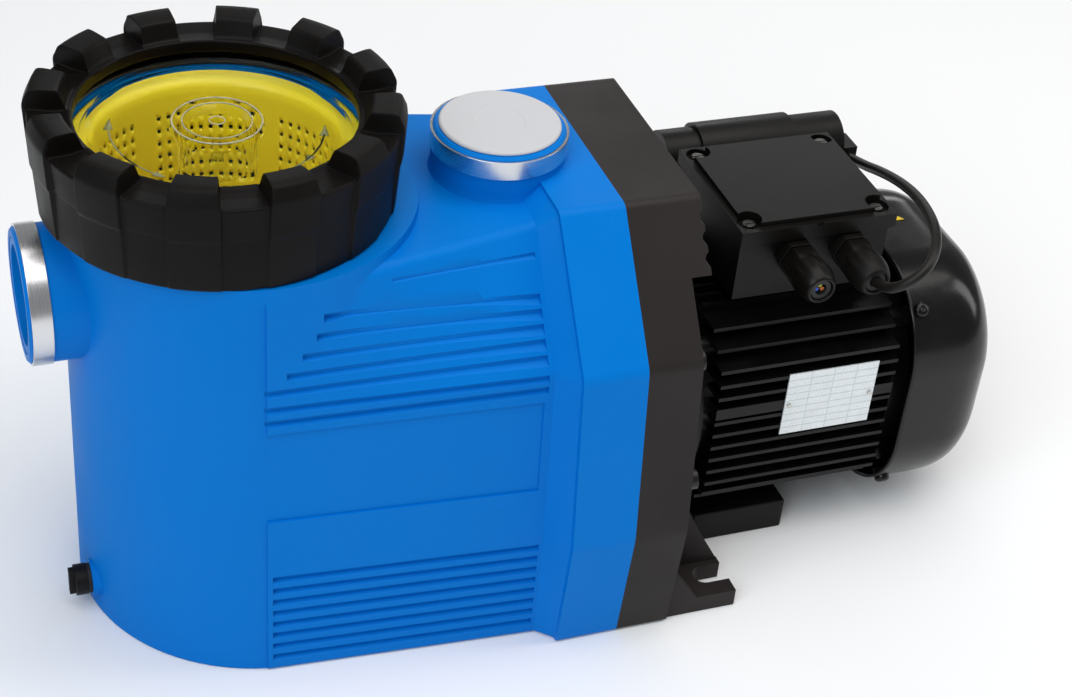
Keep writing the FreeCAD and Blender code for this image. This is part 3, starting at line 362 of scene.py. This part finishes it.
def place_group(tree, group, vector, **values):
    node = add_node(tree, "ShaderNodeGroup", node_tree=group)
    tree.links.new(vector, node.inputs["Vector"])
    for label, value in values.items():
        node.inputs[label].default_value = value
    return node


def bump(tree, shader, height, strength, distance):
    node = add_node(tree, "ShaderNodeBump")
    node.inputs["Strength"].default_value = strength
    node.inputs["Distance"].default_value = distance
    tree.links.new(height, node.inputs["Height"])
    tree.links.new(node.outputs["Normal"], shader.inputs["Normal"])


def blend_colours(tree, factor, first, second):
    node = add_node(tree, "ShaderNodeMix", data_type="RGBA", clamp_factor=True)
    tree.links.new(factor, node.inputs["Factor"])
    for place, colour in ((6, first), (7, second)):
        if isinstance(colour, tuple):
            node.inputs[place].default_value = (*colour, 1)
        else:
            tree.links.new(colour, node.inputs[place])
    return node.outputs[2]


def moulded_plastic(name, colour, deep, roughness, depth=0.00006, strength=0.5, specular=0.5,
                    scuffed=0.25, subsurface=0.0):
    """Plastic with grain: its colour drifts between colour and deep, and scuffs are a little paler."""
    material, tree, shader, vector = start_material(name)
    grain = place_group(tree, GRAIN, vector, Roughness=roughness, Cloud=0.35)
    base = blend_colours(tree, grain.outputs["Tint"], deep, colour)
    pale = tuple(min(1.0, c * (1 + scuffed) + 0.03 * scuffed) for c in colour)
    mixed = blend_colours(tree, grain.outputs["Scuff"], base, pale)
    tree.links.new(mixed, shader.inputs["Base Color"])
    tree.links.new(grain.outputs["Roughness"], shader.inputs["Roughness"])
    bump(tree, shader, grain.outputs["Height"], strength, depth)
    shader.inputs["Specular IOR Level"].default_value = specular
    if subsurface:
        shader.inputs["Subsurface Weight"].default_value = subsurface
        shader.inputs["Subsurface Radius"].default_value = (0.004, 0.004, 0.004)
    return material


def enamelled_metal(name, colour, roughness, specular=0.5):
    """Black enamel: soft orange peel, a trace of dust and a clear gloss."""
    material, tree, shader, vector = start_material(name)
    skin = place_group(tree, ENAMEL, vector, Roughness=roughness)
    dusty = tuple(c * 1.5 + 0.012 for c in colour)
    tree.links.new(blend_colours(tree, skin.outputs["Dust"], colour, dusty), shader.inputs["Base Color"])
    tree.links.new(skin.outputs["Roughness"], shader.inputs["Roughness"])
    shader.inputs["Specular IOR Level"].default_value = specular
    bump(tree, shader, skin.outputs["Height"], 0.35, 0.00008)
    return material


def turned_steel(name, colour, roughness, centre, upright=False):
    """Bare metal with turning lines round an axis through centre, parallel to X, or to Z when upright."""
    material, tree, shader, vector = start_material(name)
    if upright:
        tip = add_node(tree, "ShaderNodeMapping", vector_type="POINT")
        tip.inputs["Rotation"].default_value = (0, math.pi / 2, 0)
        tree.links.new(vector, tip.inputs["Vector"])
        vector = tip.outputs["Vector"]
        centre = (centre.z, centre.y, -centre.x)
    lines = place_group(tree, TURNED, vector, Roughness=roughness, Centre=tuple(centre))
    dark = tuple(c * 0.55 for c in colour)
    tree.links.new(blend_colours(tree, lines.outputs["Shade"], dark, colour), shader.inputs["Base Color"])
    tree.links.new(lines.outputs["Roughness"], shader.inputs["Roughness"])
    shader.inputs["Metallic"].default_value = 1.0
    bump(tree, shader, lines.outputs["Height"], 0.3, 0.00003)
    return material


# %% The clear plastic of the lid
def clear_plastic(name):
    """Clear acrylic: full transmission, faint grain in the roughness and a trace of green."""
    material, tree, shader, vector = start_material(name)
    haze = remap(tree, noise(tree, vector, 45.0, 4.0), 0.4, 0.7, 0.02, 0.07)
    tree.links.new(haze, shader.inputs["Roughness"])
    shader.inputs["Base Color"].default_value = (0.97, 0.985, 0.97, 1)
    shader.inputs["Transmission Weight"].default_value = 1.0
    shader.inputs["IOR"].default_value = 1.07
    bump(tree, shader, noise(tree, vector, 160.0, 2.0), 0.08, 0.0001)
    return material


# %% The finishes of this pump
body_blue = moulded_plastic("body_blue", (0.0, 0.195, 0.66), (0.0, 0.172, 0.60), 0.46, specular=0.07,
                            scuffed=0.0)
adaptor_grey = moulded_plastic("adaptor_grey", (0.023, 0.0185, 0.0170), (0.018, 0.0150, 0.0140), 0.50,
                               specular=0.22, scuffed=0.1)
ring_black = moulded_plastic("ring_black", (0.0055, 0.0043, 0.0036), (0.0035, 0.0028, 0.0024), 0.46,
                             depth=0.00012, strength=0.8, specular=0.12, scuffed=0.2)
box_black = moulded_plastic("box_black", (0.0060, 0.0050, 0.0042), (0.004, 0.0035, 0.003), 0.40,
                            specular=0.20)
basket_yellow = moulded_plastic("basket_yellow", (1.0, 0.80, 0.030), (0.94, 0.74, 0.020), 0.42,
                                subsurface=0.15)
cap_white = moulded_plastic("cap_white", (0.60, 0.60, 0.615), (0.57, 0.57, 0.585), 0.55, scuffed=0.0,
                            specular=0.2, subsurface=0.1)
screw_steel = turned_steel("screw_steel", (0.16, 0.155, 0.15), 0.38, middle("terminal_cover"), upright=True)
rubber_black = moulded_plastic("rubber_black", (0.012, 0.012, 0.012), (0.008, 0.008, 0.008), 0.6)
lead_rubber = moulded_plastic("lead_rubber", (0.009, 0.0075, 0.006), (0.006, 0.005, 0.004), 0.38,
                              specular=0.3)
motor_enamel = enamelled_metal("motor_enamel", (0.0030, 0.0028, 0.0028), 0.30, specular=0.24)
cover_enamel = enamelled_metal("cover_enamel", (0.0040, 0.0034, 0.0030), 0.20, specular=0.34)
bolt_black = enamelled_metal("bolt_black", (0.012, 0.011, 0.010), 0.34, specular=0.35)
clear_acrylic = clear_plastic("clear_acrylic")
suction_middle = middle("suction_ring")
discharge_middle = middle("discharge_ring")
ring_steel = turned_steel("ring_steel", (0.74, 0.74, 0.75), 0.24, suction_middle)
upright_steel = turned_steel("upright_steel", (0.74, 0.74, 0.75), 0.24, discharge_middle, upright=True)
shaft_steel = turned_steel("shaft_steel", (0.62, 0.62, 0.63), 0.25, shaft_axis)
bearing_steel = turned_steel("bearing_steel", (0.75, 0.75, 0.76), 0.12, shaft_axis)
zinc_steel = turned_steel("zinc_steel", (0.60, 0.60, 0.57), 0.35, shaft_axis)
core_steel = turned_steel("core_steel", (0.30, 0.30, 0.32), 0.45, shaft_axis)
copper_wire = turned_steel("copper_wire", (0.72, 0.32, 0.14), 0.3, shaft_axis)
seal_ceramic = moulded_plastic("seal_ceramic", (0.80, 0.78, 0.72), (0.74, 0.72, 0.66), 0.15, scuffed=0.0)
wire_blue = moulded_plastic("wire_blue", (0.01, 0.10, 0.75), (0.01, 0.08, 0.7), 0.35)
wire_brown = moulded_plastic("wire_brown", (0.60, 0.17, 0.03), (0.54, 0.14, 0.02), 0.35)
wire_earth = moulded_plastic("wire_earth", (0.50, 0.62, 0.03), (0.42, 0.56, 0.02), 0.35)


def ruled_plate(name):
    """Printed foil: silver with faint rules, as of an empty form, and a brushed roughness."""
    material, tree, shader, vector = start_material(name)
    split = add_node(tree, "ShaderNodeSeparateXYZ")
    tree.links.new(vector, split.inputs["Vector"])
    low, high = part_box("name_plate")

    def lines(axis, start, per_metre, thin, thick):
        """Mask of lines: distance from the middle of a repeated cell, above a threshold."""
        along = math_node(tree, "SUBTRACT", split.outputs[axis], start)
        cell = math_node(tree, "FRACT", math_node(tree, "MULTIPLY", along, per_metre))
        edge = math_node(tree, "ABSOLUTE", math_node(tree, "SUBTRACT", cell, 0.5))
        return remap(tree, edge, thin, thick, 0.0, 1.0)

    rows = lines("Z", low.z, 190.0, 0.42, 0.47)
    columns = lines("X", low.x, 64.0, 0.475, 0.495)
    marks = math_node(tree, "MAXIMUM", rows, columns)
    cloudy = remap(tree, noise(tree, vector, 90.0, 4.0), 0.35, 0.7, 0.0, 0.35)
    base = blend_colours(tree, cloudy, (0.82, 0.86, 0.87), (0.70, 0.74, 0.75))
    faint = math_node(tree, "MULTIPLY", marks, 0.55)
    tree.links.new(blend_colours(tree, faint, base, (0.30, 0.36, 0.38)), shader.inputs["Base Color"])
    tree.links.new(remap(tree, noise(tree, vector, 400.0), 0.3, 0.7, 0.25, 0.42), shader.inputs["Roughness"])
    shader.inputs["Metallic"].default_value = 0.35
    return material


plate_foil = ruled_plate("plate_foil")
sticker_yellow = moulded_plastic("sticker_yellow", (0.90, 0.62, 0.01), (0.82, 0.55, 0.01), 0.35)
print("materials", len(bpy.data.materials))

FINISH = {
    "blue_plastic": body_blue, "dark_plastic": adaptor_grey, "ring_plastic": ring_black,
    "stainless": ring_steel, "clear_plastic": clear_acrylic, "yellow_plastic": basket_yellow,
    "white_plastic": cap_white, "black_rubber": rubber_black, "black_plastic": box_black,
    "ceramic": seal_ceramic, "painted_metal": motor_enamel, "steel": shaft_steel,
    "bearing_steel": bearing_steel, "zinc_steel": zinc_steel, "laminations": core_steel,
    "copper": copper_wire, "blue_insulation": wire_blue, "brown_insulation": wire_brown,
    "earth_insulation": wire_earth, "plate": plate_foil, "yellow_sticker": sticker_yellow,
}


def paint(obj, material):
    obj.data.materials.clear()
    obj.data.materials.append(material)


for name, node in nodes.items():
    finish = FINISH.get(slot_of_node[name])
    if finish:
        paint(node, finish)
for name in ("casing_bolts", "tie_bolts"):
    paint(nodes[name], bolt_black)

# %% [markdown]
# ## Softened copies of the CAD pieces
#
# A CAD solid has knife edges, and real mouldings and castings don't. For each visible hard piece we copy the
# CAD mesh, merge its loose triangles into one skin, join flat triangles into faces and let a Bevel modifier
# round every sharp edge. A Weighted Normal modifier then keeps the shading of the large flat faces even. The
# copy stands for the CAD node.

# %% A helper that rounds the edges of a CAD node
MERGE = 1e-6
SHARP = math.radians(28.0)


def softened(node_name, width, material=None):
    """Copy of a CAD node: merged, flat areas joined, edges sharper than SHARP rounded to width metres."""
    source = nodes[node_name]
    mesh = bmesh.new()
    mesh.from_mesh(source.data)
    bmesh.ops.remove_doubles(mesh, verts=mesh.verts, dist=MERGE)
    bmesh.ops.dissolve_degenerate(mesh, edges=mesh.edges, dist=MERGE)
    bmesh.ops.dissolve_limit(mesh, angle_limit=math.radians(0.4), verts=mesh.verts, edges=mesh.edges)
    data = bpy.data.meshes.new(node_name + "_skin")
    mesh.to_mesh(data)
    mesh.free()
    data.shade_smooth()
    obj = link(bpy.data.objects.new(node_name + "_skin", data))
    edge_round = obj.modifiers.new("round", "BEVEL")
    edge_round.width = width
    edge_round.segments = 2
    edge_round.limit_method = "ANGLE"
    edge_round.angle_limit = SHARP
    edge_round.use_clamp_overlap = True
    even = obj.modifiers.new("even", "WEIGHTED_NORMAL")
    even.mode = "FACE_AREA_WITH_ANGLE"
    even.weight = 80
    paint(obj, material or FINISH[slot_of_node[node_name]])
    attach(obj, body_of_node[node_name])
    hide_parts(node_name)
    return obj


SOFT_EDGES = {
    "housing": 1.2 * MM, "port_sockets": 0.4 * MM, "adaptor": 1.2 * MM, "motor_frame": 0.5 * MM,
    "terminal_box": 2.0 * MM, "terminal_cover": 1.0 * MM, "cable_glands": 0.5 * MM,
    "motor_support": 1.2 * MM, "front_end_shield": 0.6 * MM, "drain_plug": 0.6 * MM,
    "suction_ring": 0.25 * MM, "transport_cap": 0.5 * MM, "capacitor": 2.2 * MM,
    "capacitor_clip": 0.6 * MM, "name_plate": 0.15 * MM,
}
for name, width in SOFT_EDGES.items():
    piece = softened(name, width)
    print(name, "faces", len(piece.data.polygons))
softened("discharge_ring", 0.25 * MM, material=upright_steel)
softened("terminal_cover_screws", 0.3 * MM, material=screw_steel)
paint(lead, lead_rubber)

# %% [markdown]
# ## Surfaces from formulas
#
# Rounded mouldings are easier to write as a formula than to carve. A grid of numbers gives each
# point two parameters, such as an angle and a place along a profile, and numpy works out every point in one
# go. The helper turns such a grid into a mesh and closes it round the angle.

# %% A grid of points becomes a mesh
def grid_faces(rows, columns, wrap_rows, wrap_columns):
    """Quads between neighbours of a rows x columns grid; a wrapped direction joins its end to its start."""
    r = np.arange(rows if wrap_rows else rows - 1)
    c = np.arange(columns if wrap_columns else columns - 1)
    r, c = np.meshgrid(r, c, indexing="ij")
    up = (r + 1) % rows
    side = (c + 1) % columns
    quads = np.stack([r * columns + c, r * columns + side, up * columns + side, up * columns + c], -1)
    return quads.reshape(-1, 4), r.ravel(), c.ravel()


def mesh_piece(name, points, faces, material, body, replaced=()):
    """Mesh object from arrays of points (n, 3) and quads (m, 4), merged, with its faces turned outwards."""
    data = bpy.data.meshes.new(name)
    data.vertices.add(len(points))
    data.vertices.foreach_set("co", np.asarray(points, np.float32).ravel())
    data.loops.add(faces.size)
    data.loops.foreach_set("vertex_index", faces.ravel().astype(np.int32))
    data.polygons.add(len(faces))
    data.polygons.foreach_set("loop_start", np.arange(0, faces.size, 4, dtype=np.int32))
    data.update(calc_edges=True)
    mesh = bmesh.new()
    mesh.from_mesh(data)
    bmesh.ops.remove_doubles(mesh, verts=mesh.verts, dist=2 * MERGE)
    bmesh.ops.dissolve_degenerate(mesh, edges=mesh.edges, dist=MERGE)
    bmesh.ops.recalc_face_normals(mesh, faces=mesh.faces)
    mesh.to_mesh(data)
    mesh.free()
    data.shade_smooth()
    obj = link(bpy.data.objects.new(name, data))
    paint(obj, material)
    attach(obj, body)
    if replaced:
        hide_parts(*replaced)
    print(name, "vertices", len(data.vertices), "faces", len(data.polygons))
    return obj


def rounded_line(corners, reach, steps=4):
    """Closed polygon whose corners become short parabolas that start reach before and end after them."""
    corners = np.asarray(corners, float)
    back = np.roll(corners, 1, axis=0) - corners
    ahead = np.roll(corners, -1, axis=0) - corners
    back_long = np.linalg.norm(back, axis=1, keepdims=True)
    ahead_long = np.linalg.norm(ahead, axis=1, keepdims=True)
    start = corners + back / back_long * np.minimum(reach, 0.45 * back_long)
    end = corners + ahead / ahead_long * np.minimum(reach, 0.45 * ahead_long)
    t = np.linspace(0, 1, steps)[None, :, None]
    line = (1 - t) ** 2 * start[:, None] + 2 * t * (1 - t) * corners[:, None] + t ** 2 * end[:, None]
    return line.reshape(-1, corners.shape[1])


# %% [markdown]
# ## The lock ring
#
# The ring is one moulding with twelve soft lugs for the hands. Its section is a closed line that is drawn
# twice, once through a gap and once through a lug, with the same number of points. Going round the
# axis, a mask that is 0 in the gaps and 1 on the lugs mixes the two, and the steep change
# between them makes the flanks of the lugs.

# %% Ring between the gap section and the lug section
LUGS = 12
LUG_TURN = math.radians(-109.4)
GAP_SECTION = [
    (91.0, 267.9), (97.5, 267.9), (98.6, 299.6), (98.9, 300.4), (100.4, 318.6), (99.2, 319.5),
    (88.0, 318.2), (80.5, 318.6), (78.6, 319.5), (76.5, 319.5), (76.5, 312.0), (91.0, 312.0),
]
LUG_SECTION = [
    (91.0, 267.9), (98.4, 267.9), (100.6, 299.6), (101.6, 300.4), (102.8, 322.5), (99.2, 330.4),
    (95.0, 331.0), (83.6, 330.1), (79.8, 319.6), (76.5, 319.5), (76.5, 312.0), (91.0, 312.0),
]


def smooth_step(low, high, value):
    t = np.clip((value - low) / (high - low), 0, 1)
    return t * t * (3 - 2 * t)


def ring_points():
    """Point = gap section + mask x (lug section - gap section), turned round the strainer axis."""
    gap = rounded_line(GAP_SECTION, 1.3, 5)
    lug = rounded_line(LUG_SECTION, 1.9, 5)
    half_pitch = 180.0 / LUGS
    flank = np.linspace(6.6, 8.9, 19)
    near = np.concatenate([np.linspace(0, 6.2, 5), flank, np.linspace(9.6, half_pitch, 5)])
    turn = np.concatenate([-near[::-1][:-1], near])[:-1]
    lean = 8.1 - 0.7 * np.clip((lug[:, 1] - 318.0) / 13.0, 0, 1)
    mask = 1 - smooth_step(lean[None] - 0.45, lean[None] + 0.45, np.abs(turn)[:, None])
    radius = gap[None, :, 0] + mask * (lug[:, 0] - gap[:, 0])[None]
    height = gap[None, :, 1] + mask * (lug[:, 1] - gap[:, 1])[None]
    centre = LUG_TURN + np.arange(LUGS)[:, None] * 2 * math.pi / LUGS
    angle = (centre + np.radians(turn)[None]).ravel()[:, None]
    radius = np.tile(radius, (LUGS, 1))
    height = np.tile(height, (LUGS, 1))
    x = strainer_axis.x + MM * radius * np.cos(angle)
    y = strainer_axis.y + MM * radius * np.sin(angle)
    return np.stack([x, y, MM * height], -1)


points = ring_points()
faces, _, _ = grid_faces(points.shape[0], points.shape[1], True, True)
mesh_piece("lock_ring_skin", points.reshape(-1, 3), faces, ring_black, "ring", ("lock_ring",))

# %% [markdown]
# ## The strainer basket
#
# The basket is a thin yellow moulding with many short slots. A line from the middle of its floor over the
# wall to the rim is turned round the axis. Cells of the grid that fall in a slot are left out, and a
# Solidify modifier then gives the sheet its thickness.

# %% Basket as a slotted grid
BASKET_SPOKES = 360
WALL_FIRST_ROW = 21
BASKET_WALL = 2.0 * MM


def basket_piece():
    """Radius grows evenly with height. Cells of every third row, in two columns of five, are left out."""
    wall_z = np.linspace(68.0, 288.0, 81)
    wall_r = 66.2 + (wall_z - 65.0) * 5.7 / 227.0
    floor_r = np.linspace(3.0, 62.0, 20)
    line = np.concatenate([
        np.stack([floor_r, np.full_like(floor_r, 63.2)], -1), [(65.2, 64.6)], np.stack([wall_r, wall_z], -1),
        [(72.2, 292.0), (73.4, 294.2), (80.8, 294.6), (81.0, 298.0)],
    ])
    angle = np.arange(BASKET_SPOKES) * 2 * math.pi / BASKET_SPOKES
    x = strainer_axis.x + MM * line[:, :1] * np.cos(angle)
    y = strainer_axis.y + MM * line[:, :1] * np.sin(angle)
    z = np.broadcast_to(MM * line[:, 1:], x.shape)
    points = np.stack([x, y, z], -1).reshape(-1, 3)
    faces, row, column = grid_faces(len(line), BASKET_SPOKES, False, True)
    wall_row = row - WALL_FIRST_ROW
    in_wall = (wall_row >= 2) & (wall_row < 76) & (wall_row % 3 == 0)
    in_wall &= (column % 5 < 2) & (column % 60 < 50)
    in_floor = (row >= 4) & (row < 18) & (row % 5 != 0) & (column % 12 < 5)
    piece = mesh_piece("basket_skin", points, faces[~(in_wall | in_floor)], basket_yellow,
                       "basket", ("strainer_basket",))
    wall = piece.modifiers.new("wall", "SOLIDIFY")
    wall.thickness = BASKET_WALL
    wall.offset = -1
    return piece


basket_piece()

# %% [markdown]
# ## The fan cover
#
# The cover is deep-drawn steel: a rounded square that flows into a round, slotted end. Its
# outline in polar form is a rounded square, and it shrinks and rounds off as it goes
# back. The grille is the flat end of the same grid, with the slot cells left out.

# %% Rounded square outline and the dome
COVER_STATIONS = np.array([
    (421.3, 85.0, 59.0), (430.0, 85.0, 59.0), (445.0, 85.0, 59.0), (458.0, 84.7, 58.8), (466.0, 83.5, 58.2),
    (473.0, 81.0, 57.4), (479.0, 77.0, 56.4), (484.0, 71.6, 55.6), (487.6, 65.6, 55.4), (489.4, 61.2, 55.8),
    (490.2, 58.6, 56.4), (491.6, 57.1, 56.9), (494.6, 56.6, 56.6), (496.4, 55.6, 55.6), (497.0, 53.6, 53.6),
])
COVER_SPOKES = 448
COVER_ROWS = 57
COVER_WALL = 2.0 * MM


def rounded_square_reach(half, corner, angle):
    """Distance from the centre to a square of half width half whose corners have radius corner."""
    big = np.maximum(np.abs(np.cos(angle)), np.abs(np.sin(angle)))
    small = np.minimum(np.abs(np.cos(angle)), np.abs(np.sin(angle)))
    flat = half - corner
    on_corner = flat * (big + small) + np.sqrt(np.maximum(corner ** 2 - flat ** 2 * (big - small) ** 2, 0))
    return np.where(half * small <= flat * big, half / big, on_corner)


def cover_piece():
    """Rows of the grid are stations along the axis, then rings of the flat grille down to the middle."""
    steps = np.linspace(0, len(COVER_STATIONS) - 1, COVER_ROWS)
    stations = np.stack([np.interp(steps, np.arange(len(COVER_STATIONS)), COVER_STATIONS[:, k])
                         for k in range(3)], -1)
    kernel = np.array([0.25, 0.5, 0.25])
    for _ in range(3):
        stations[1:-1] = sum(w * stations[k:len(stations) - 2 + k] for k, w in enumerate(kernel))
    rings = np.array([51.0, 42.0, 34.0, 30.0, 22.0, 14.0, 7.0, 0.5])
    flat = np.stack([np.full(len(rings), 497.0), rings, rings], -1)
    stations = np.concatenate([stations, flat])
    angle = np.arange(COVER_SPOKES) * 2 * math.pi / COVER_SPOKES
    reach = rounded_square_reach(stations[:, 1:2], stations[:, 2:3], angle[None])
    x = np.broadcast_to(MM * stations[:, :1] + strainer_axis.x, reach.shape)
    y = shaft_axis.y + MM * reach * np.cos(angle)
    z = shaft_axis.z + MM * reach * np.sin(angle)
    points = np.stack([x, y, z], -1).reshape(-1, 3)
    faces, row, column = grid_faces(len(stations), COVER_SPOKES, False, True)
    outer = (row >= COVER_ROWS) & (row < COVER_ROWS + 2) & (column % 16 < 7)
    inner = (row >= COVER_ROWS + 3) & (row < COVER_ROWS + 5) & (column % 28 < 12)
    piece = mesh_piece("fan_cover_skin", points, faces[~(outer | inner)], cover_enamel,
                       "pump_body", ("fan_cover",))
    wall = piece.modifiers.new("wall", "SOLIDIFY")
    wall.thickness = COVER_WALL
    wall.offset = -1
    return piece


cover_piece()


# %% Turned pieces on any axis: the domed screws of the cover
def turned_points(profile, origin, axis, spokes):
    """Profile of (distance along axis, radius) turned round the axis through origin."""
    axis = np.array(Vector(axis).normalized())
    side = np.array(Vector(axis).orthogonal().normalized())
    other = np.cross(axis, side)
    angle = np.arange(spokes) * 2 * math.pi / spokes
    out = np.cos(angle)[:, None] * side + np.sin(angle)[:, None] * other
    profile = np.asarray(profile, float) * MM
    return (np.array(origin) + profile[:, 0][:, None, None] * axis + profile[:, 1][:, None, None] * out[None])


SCREW_X = 0.2355
HEAD = [(90.0, 0.05), (90.0, 4.9), (97.4, 5.0), (98.6, 4.6), (99.4, 3.6), (99.8, 2.2), (99.8, 0.9),
        (99.2, 0.8), (99.2, 0.05)]
screw_points = []
screw_faces = []
for quarter in range(4):
    turn = math.radians(45 + 90 * quarter)
    axis = (0, math.cos(turn), math.sin(turn))
    grid = turned_points(HEAD, (SCREW_X, shaft_axis.y, shaft_axis.z), axis, 32)
    quads, _, _ = grid_faces(grid.shape[0], grid.shape[1], False, True)
    screw_faces.append(quads + sum(len(p) for p in screw_points))
    screw_points.append(grid.reshape(-1, 3))
mesh_piece("cover_screws_skin", np.concatenate(screw_points), np.concatenate(screw_faces), cover_enamel,
           "pump_body", ("fan_cover_screws",))

# %% [markdown]
# ## The cable gland nuts
#
# A gland's nut is a hexagon at its back and a ribbed dome in front, with a round mouth for the cable. The
# grid runs from the back over the dome into the mouth, and a factor per row fades the
# hexagon and the ribs out.

# %% Domed nuts, hexagonal and ribbed at the back
NUT_SPOKES = 96
NUT_ROWS = np.array([
    # distance in front of the box, radius, share of hexagon, share of ribs
    (9.2, 9.4, 0.0, 0.0), (9.2, 10.6, 1.0, 0.0), (9.8, 11.0, 1.0, 0.0), (17.0, 11.0, 1.0, 0.0),
    (18.6, 11.2, 0.7, 0.2), (19.8, 11.4, 0.2, 0.8), (21.5, 11.8, 0.0, 1.0), (25.0, 12.2, 0.0, 1.0),
    (29.0, 12.3, 0.0, 0.8), (32.5, 12.0, 0.0, 0.4), (35.5, 11.3, 0.0, 0.1), (38.0, 10.3, 0.0, 0.0),
    (40.0, 9.2, 0.0, 0.0), (41.0, 8.3, 0.0, 0.0), (41.0, 7.5, 0.0, 0.0), (40.2, 7.1, 0.0, 0.0),
    (30.0, 7.0, 0.0, 0.0), (29.5, 9.2, 0.0, 0.0), (10.0, 9.2, 0.0, 0.0), (9.2, 9.4, 0.0, 0.0),
])
nut_low, nut_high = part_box("gland_nuts")
box_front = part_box("terminal_box")[0].y
GLAND_Z = (nut_low.z + nut_high.z) / 2
GLAND_X = (0.1500, 0.1865)


def nut_points(x):
    """Radius = row radius x (1 + hexagon share x (1/cos(angle in sixth) - 1) + rib share x cosine)."""
    angle = np.arange(NUT_SPOKES) * 2 * math.pi / NUT_SPOKES
    sixth = (angle + math.pi / 6) % (math.pi / 3) - math.pi / 6
    hexagon = 1 / np.cos(sixth) - 1
    ribs = 0.022 * np.cos(12 * angle)
    factor = 1 + NUT_ROWS[:, 2:3] * hexagon + NUT_ROWS[:, 3:4] * ribs
    radius = MM * NUT_ROWS[:, 1:2] * factor
    y = np.broadcast_to(box_front - MM * NUT_ROWS[:, :1], radius.shape)
    return np.stack([x + radius * np.sin(angle), y, GLAND_Z + radius * np.cos(angle)], -1)


nut_grids = [nut_points(x) for x in GLAND_X]
quads, _, _ = grid_faces(len(NUT_ROWS), NUT_SPOKES, False, True)
mesh_piece(
    "gland_nuts_skin", np.concatenate([g.reshape(-1, 3) for g in nut_grids]),
    np.concatenate([quads, quads + len(NUT_ROWS) * NUT_SPOKES]), box_black, "pump_body",
    ("gland_nuts",))

# %% [markdown]
# ## Marks and painted highlights on the lid
#
# Curved arrows are moulded on the clear lid, to show which way the ring turns. Each is a thin strip
# round the axis that widens into its head, given by a width that depends on the angle. Clear plastic shows
# its edges as pale lines of light, so thin pale tori are painted highlights on the rims of the finger cup
# and its small nub.

# %% Curved arrows and painted highlights on the rims of the cup
ARROW_RADIUS = 58.0
ARROW_Z = 308.75
ARROW_COLUMNS = 3


def arrow_points(start, sweep):
    """Strip: radius = middle +- half width, where the half width is narrow, jumps out and runs to a tip."""
    share = np.array([0, 0.2, 0.4, 0.6, 0.779, 0.78, 0.86, 0.93, 1.0])
    half = np.array([0.5, 0.5, 0.5, 0.5, 0.5, 2.6, 1.6, 0.8, 0.05])
    angle = np.radians(start + sweep * share)
    across = np.linspace(-1, 1, ARROW_COLUMNS)
    radius = MM * (ARROW_RADIUS + half[:, None] * across[None])
    x = strainer_axis.x + radius * np.cos(angle)[:, None]
    y = strainer_axis.y + radius * np.sin(angle)[:, None]
    return np.stack([x, y, np.full_like(x, MM * ARROW_Z)], -1)


arrow_grids = [arrow_points(-148, -52), arrow_points(-62, 52), arrow_points(-160, 30), arrow_points(-20, -30)]
arrow_faces = []
for number, grid in enumerate(arrow_grids):
    quads, _, _ = grid_faces(grid.shape[0], ARROW_COLUMNS, False, False)
    arrow_faces.append(quads + number * grid.shape[0] * ARROW_COLUMNS)
# Radius and thickness of each pale torus that paints the highlight on a rim of the clear lid.
RIM_HIGHLIGHT_LINES = [(24.4, 0.5), (18.9, 0.4), (4.2, 0.35)]
RIM_Z = 312.6
RIM_SPOKES = 96
RIM_SIDES = 12


def hub_rim_points(radius, thick):
    """A torus: circle of radius thick, carried round the strainer axis at the given radius."""
    turn = np.arange(RIM_SPOKES)[:, None] * 2 * math.pi / RIM_SPOKES
    around = np.arange(RIM_SIDES)[None] * 2 * math.pi / RIM_SIDES
    reach = MM * (radius + thick * np.cos(around))
    height = MM * (RIM_Z + thick * np.sin(around))
    x = strainer_axis.x + reach * np.cos(turn)
    y = strainer_axis.y + reach * np.sin(turn)
    return np.stack([x, y, np.broadcast_to(height, x.shape)], -1).reshape(-1, 3)


rim_grids = [hub_rim_points(radius, thick) for radius, thick in RIM_HIGHLIGHT_LINES]
quads, _, _ = grid_faces(RIM_SPOKES, RIM_SIDES, True, True)
# The pale colour of these tori is a painted highlight on the edges of the clear lid.
rim_highlight_paint = moulded_plastic("rim_highlight_paint", (0.50, 0.48, 0.34), (0.42, 0.40, 0.28), 0.12, scuffed=0.0)
rim_faces = np.concatenate([quads + k * RIM_SPOKES * RIM_SIDES for k in range(len(rim_grids))])
mesh_piece("lid_rim_highlights", np.concatenate(rim_grids), rim_faces, rim_highlight_paint, "lid")
arrow_mark = moulded_plastic("arrow_mark", (0.25, 0.25, 0.10), (0.2, 0.2, 0.08), 0.3)
arrows = mesh_piece("lid_arrows", np.concatenate([g.reshape(-1, 3) for g in arrow_grids]),
                    np.concatenate(arrow_faces), arrow_mark, "lid")
raised = arrows.modifiers.new("raised", "SOLIDIFY")
raised.thickness = 0.25 * MM
raised.offset = 0
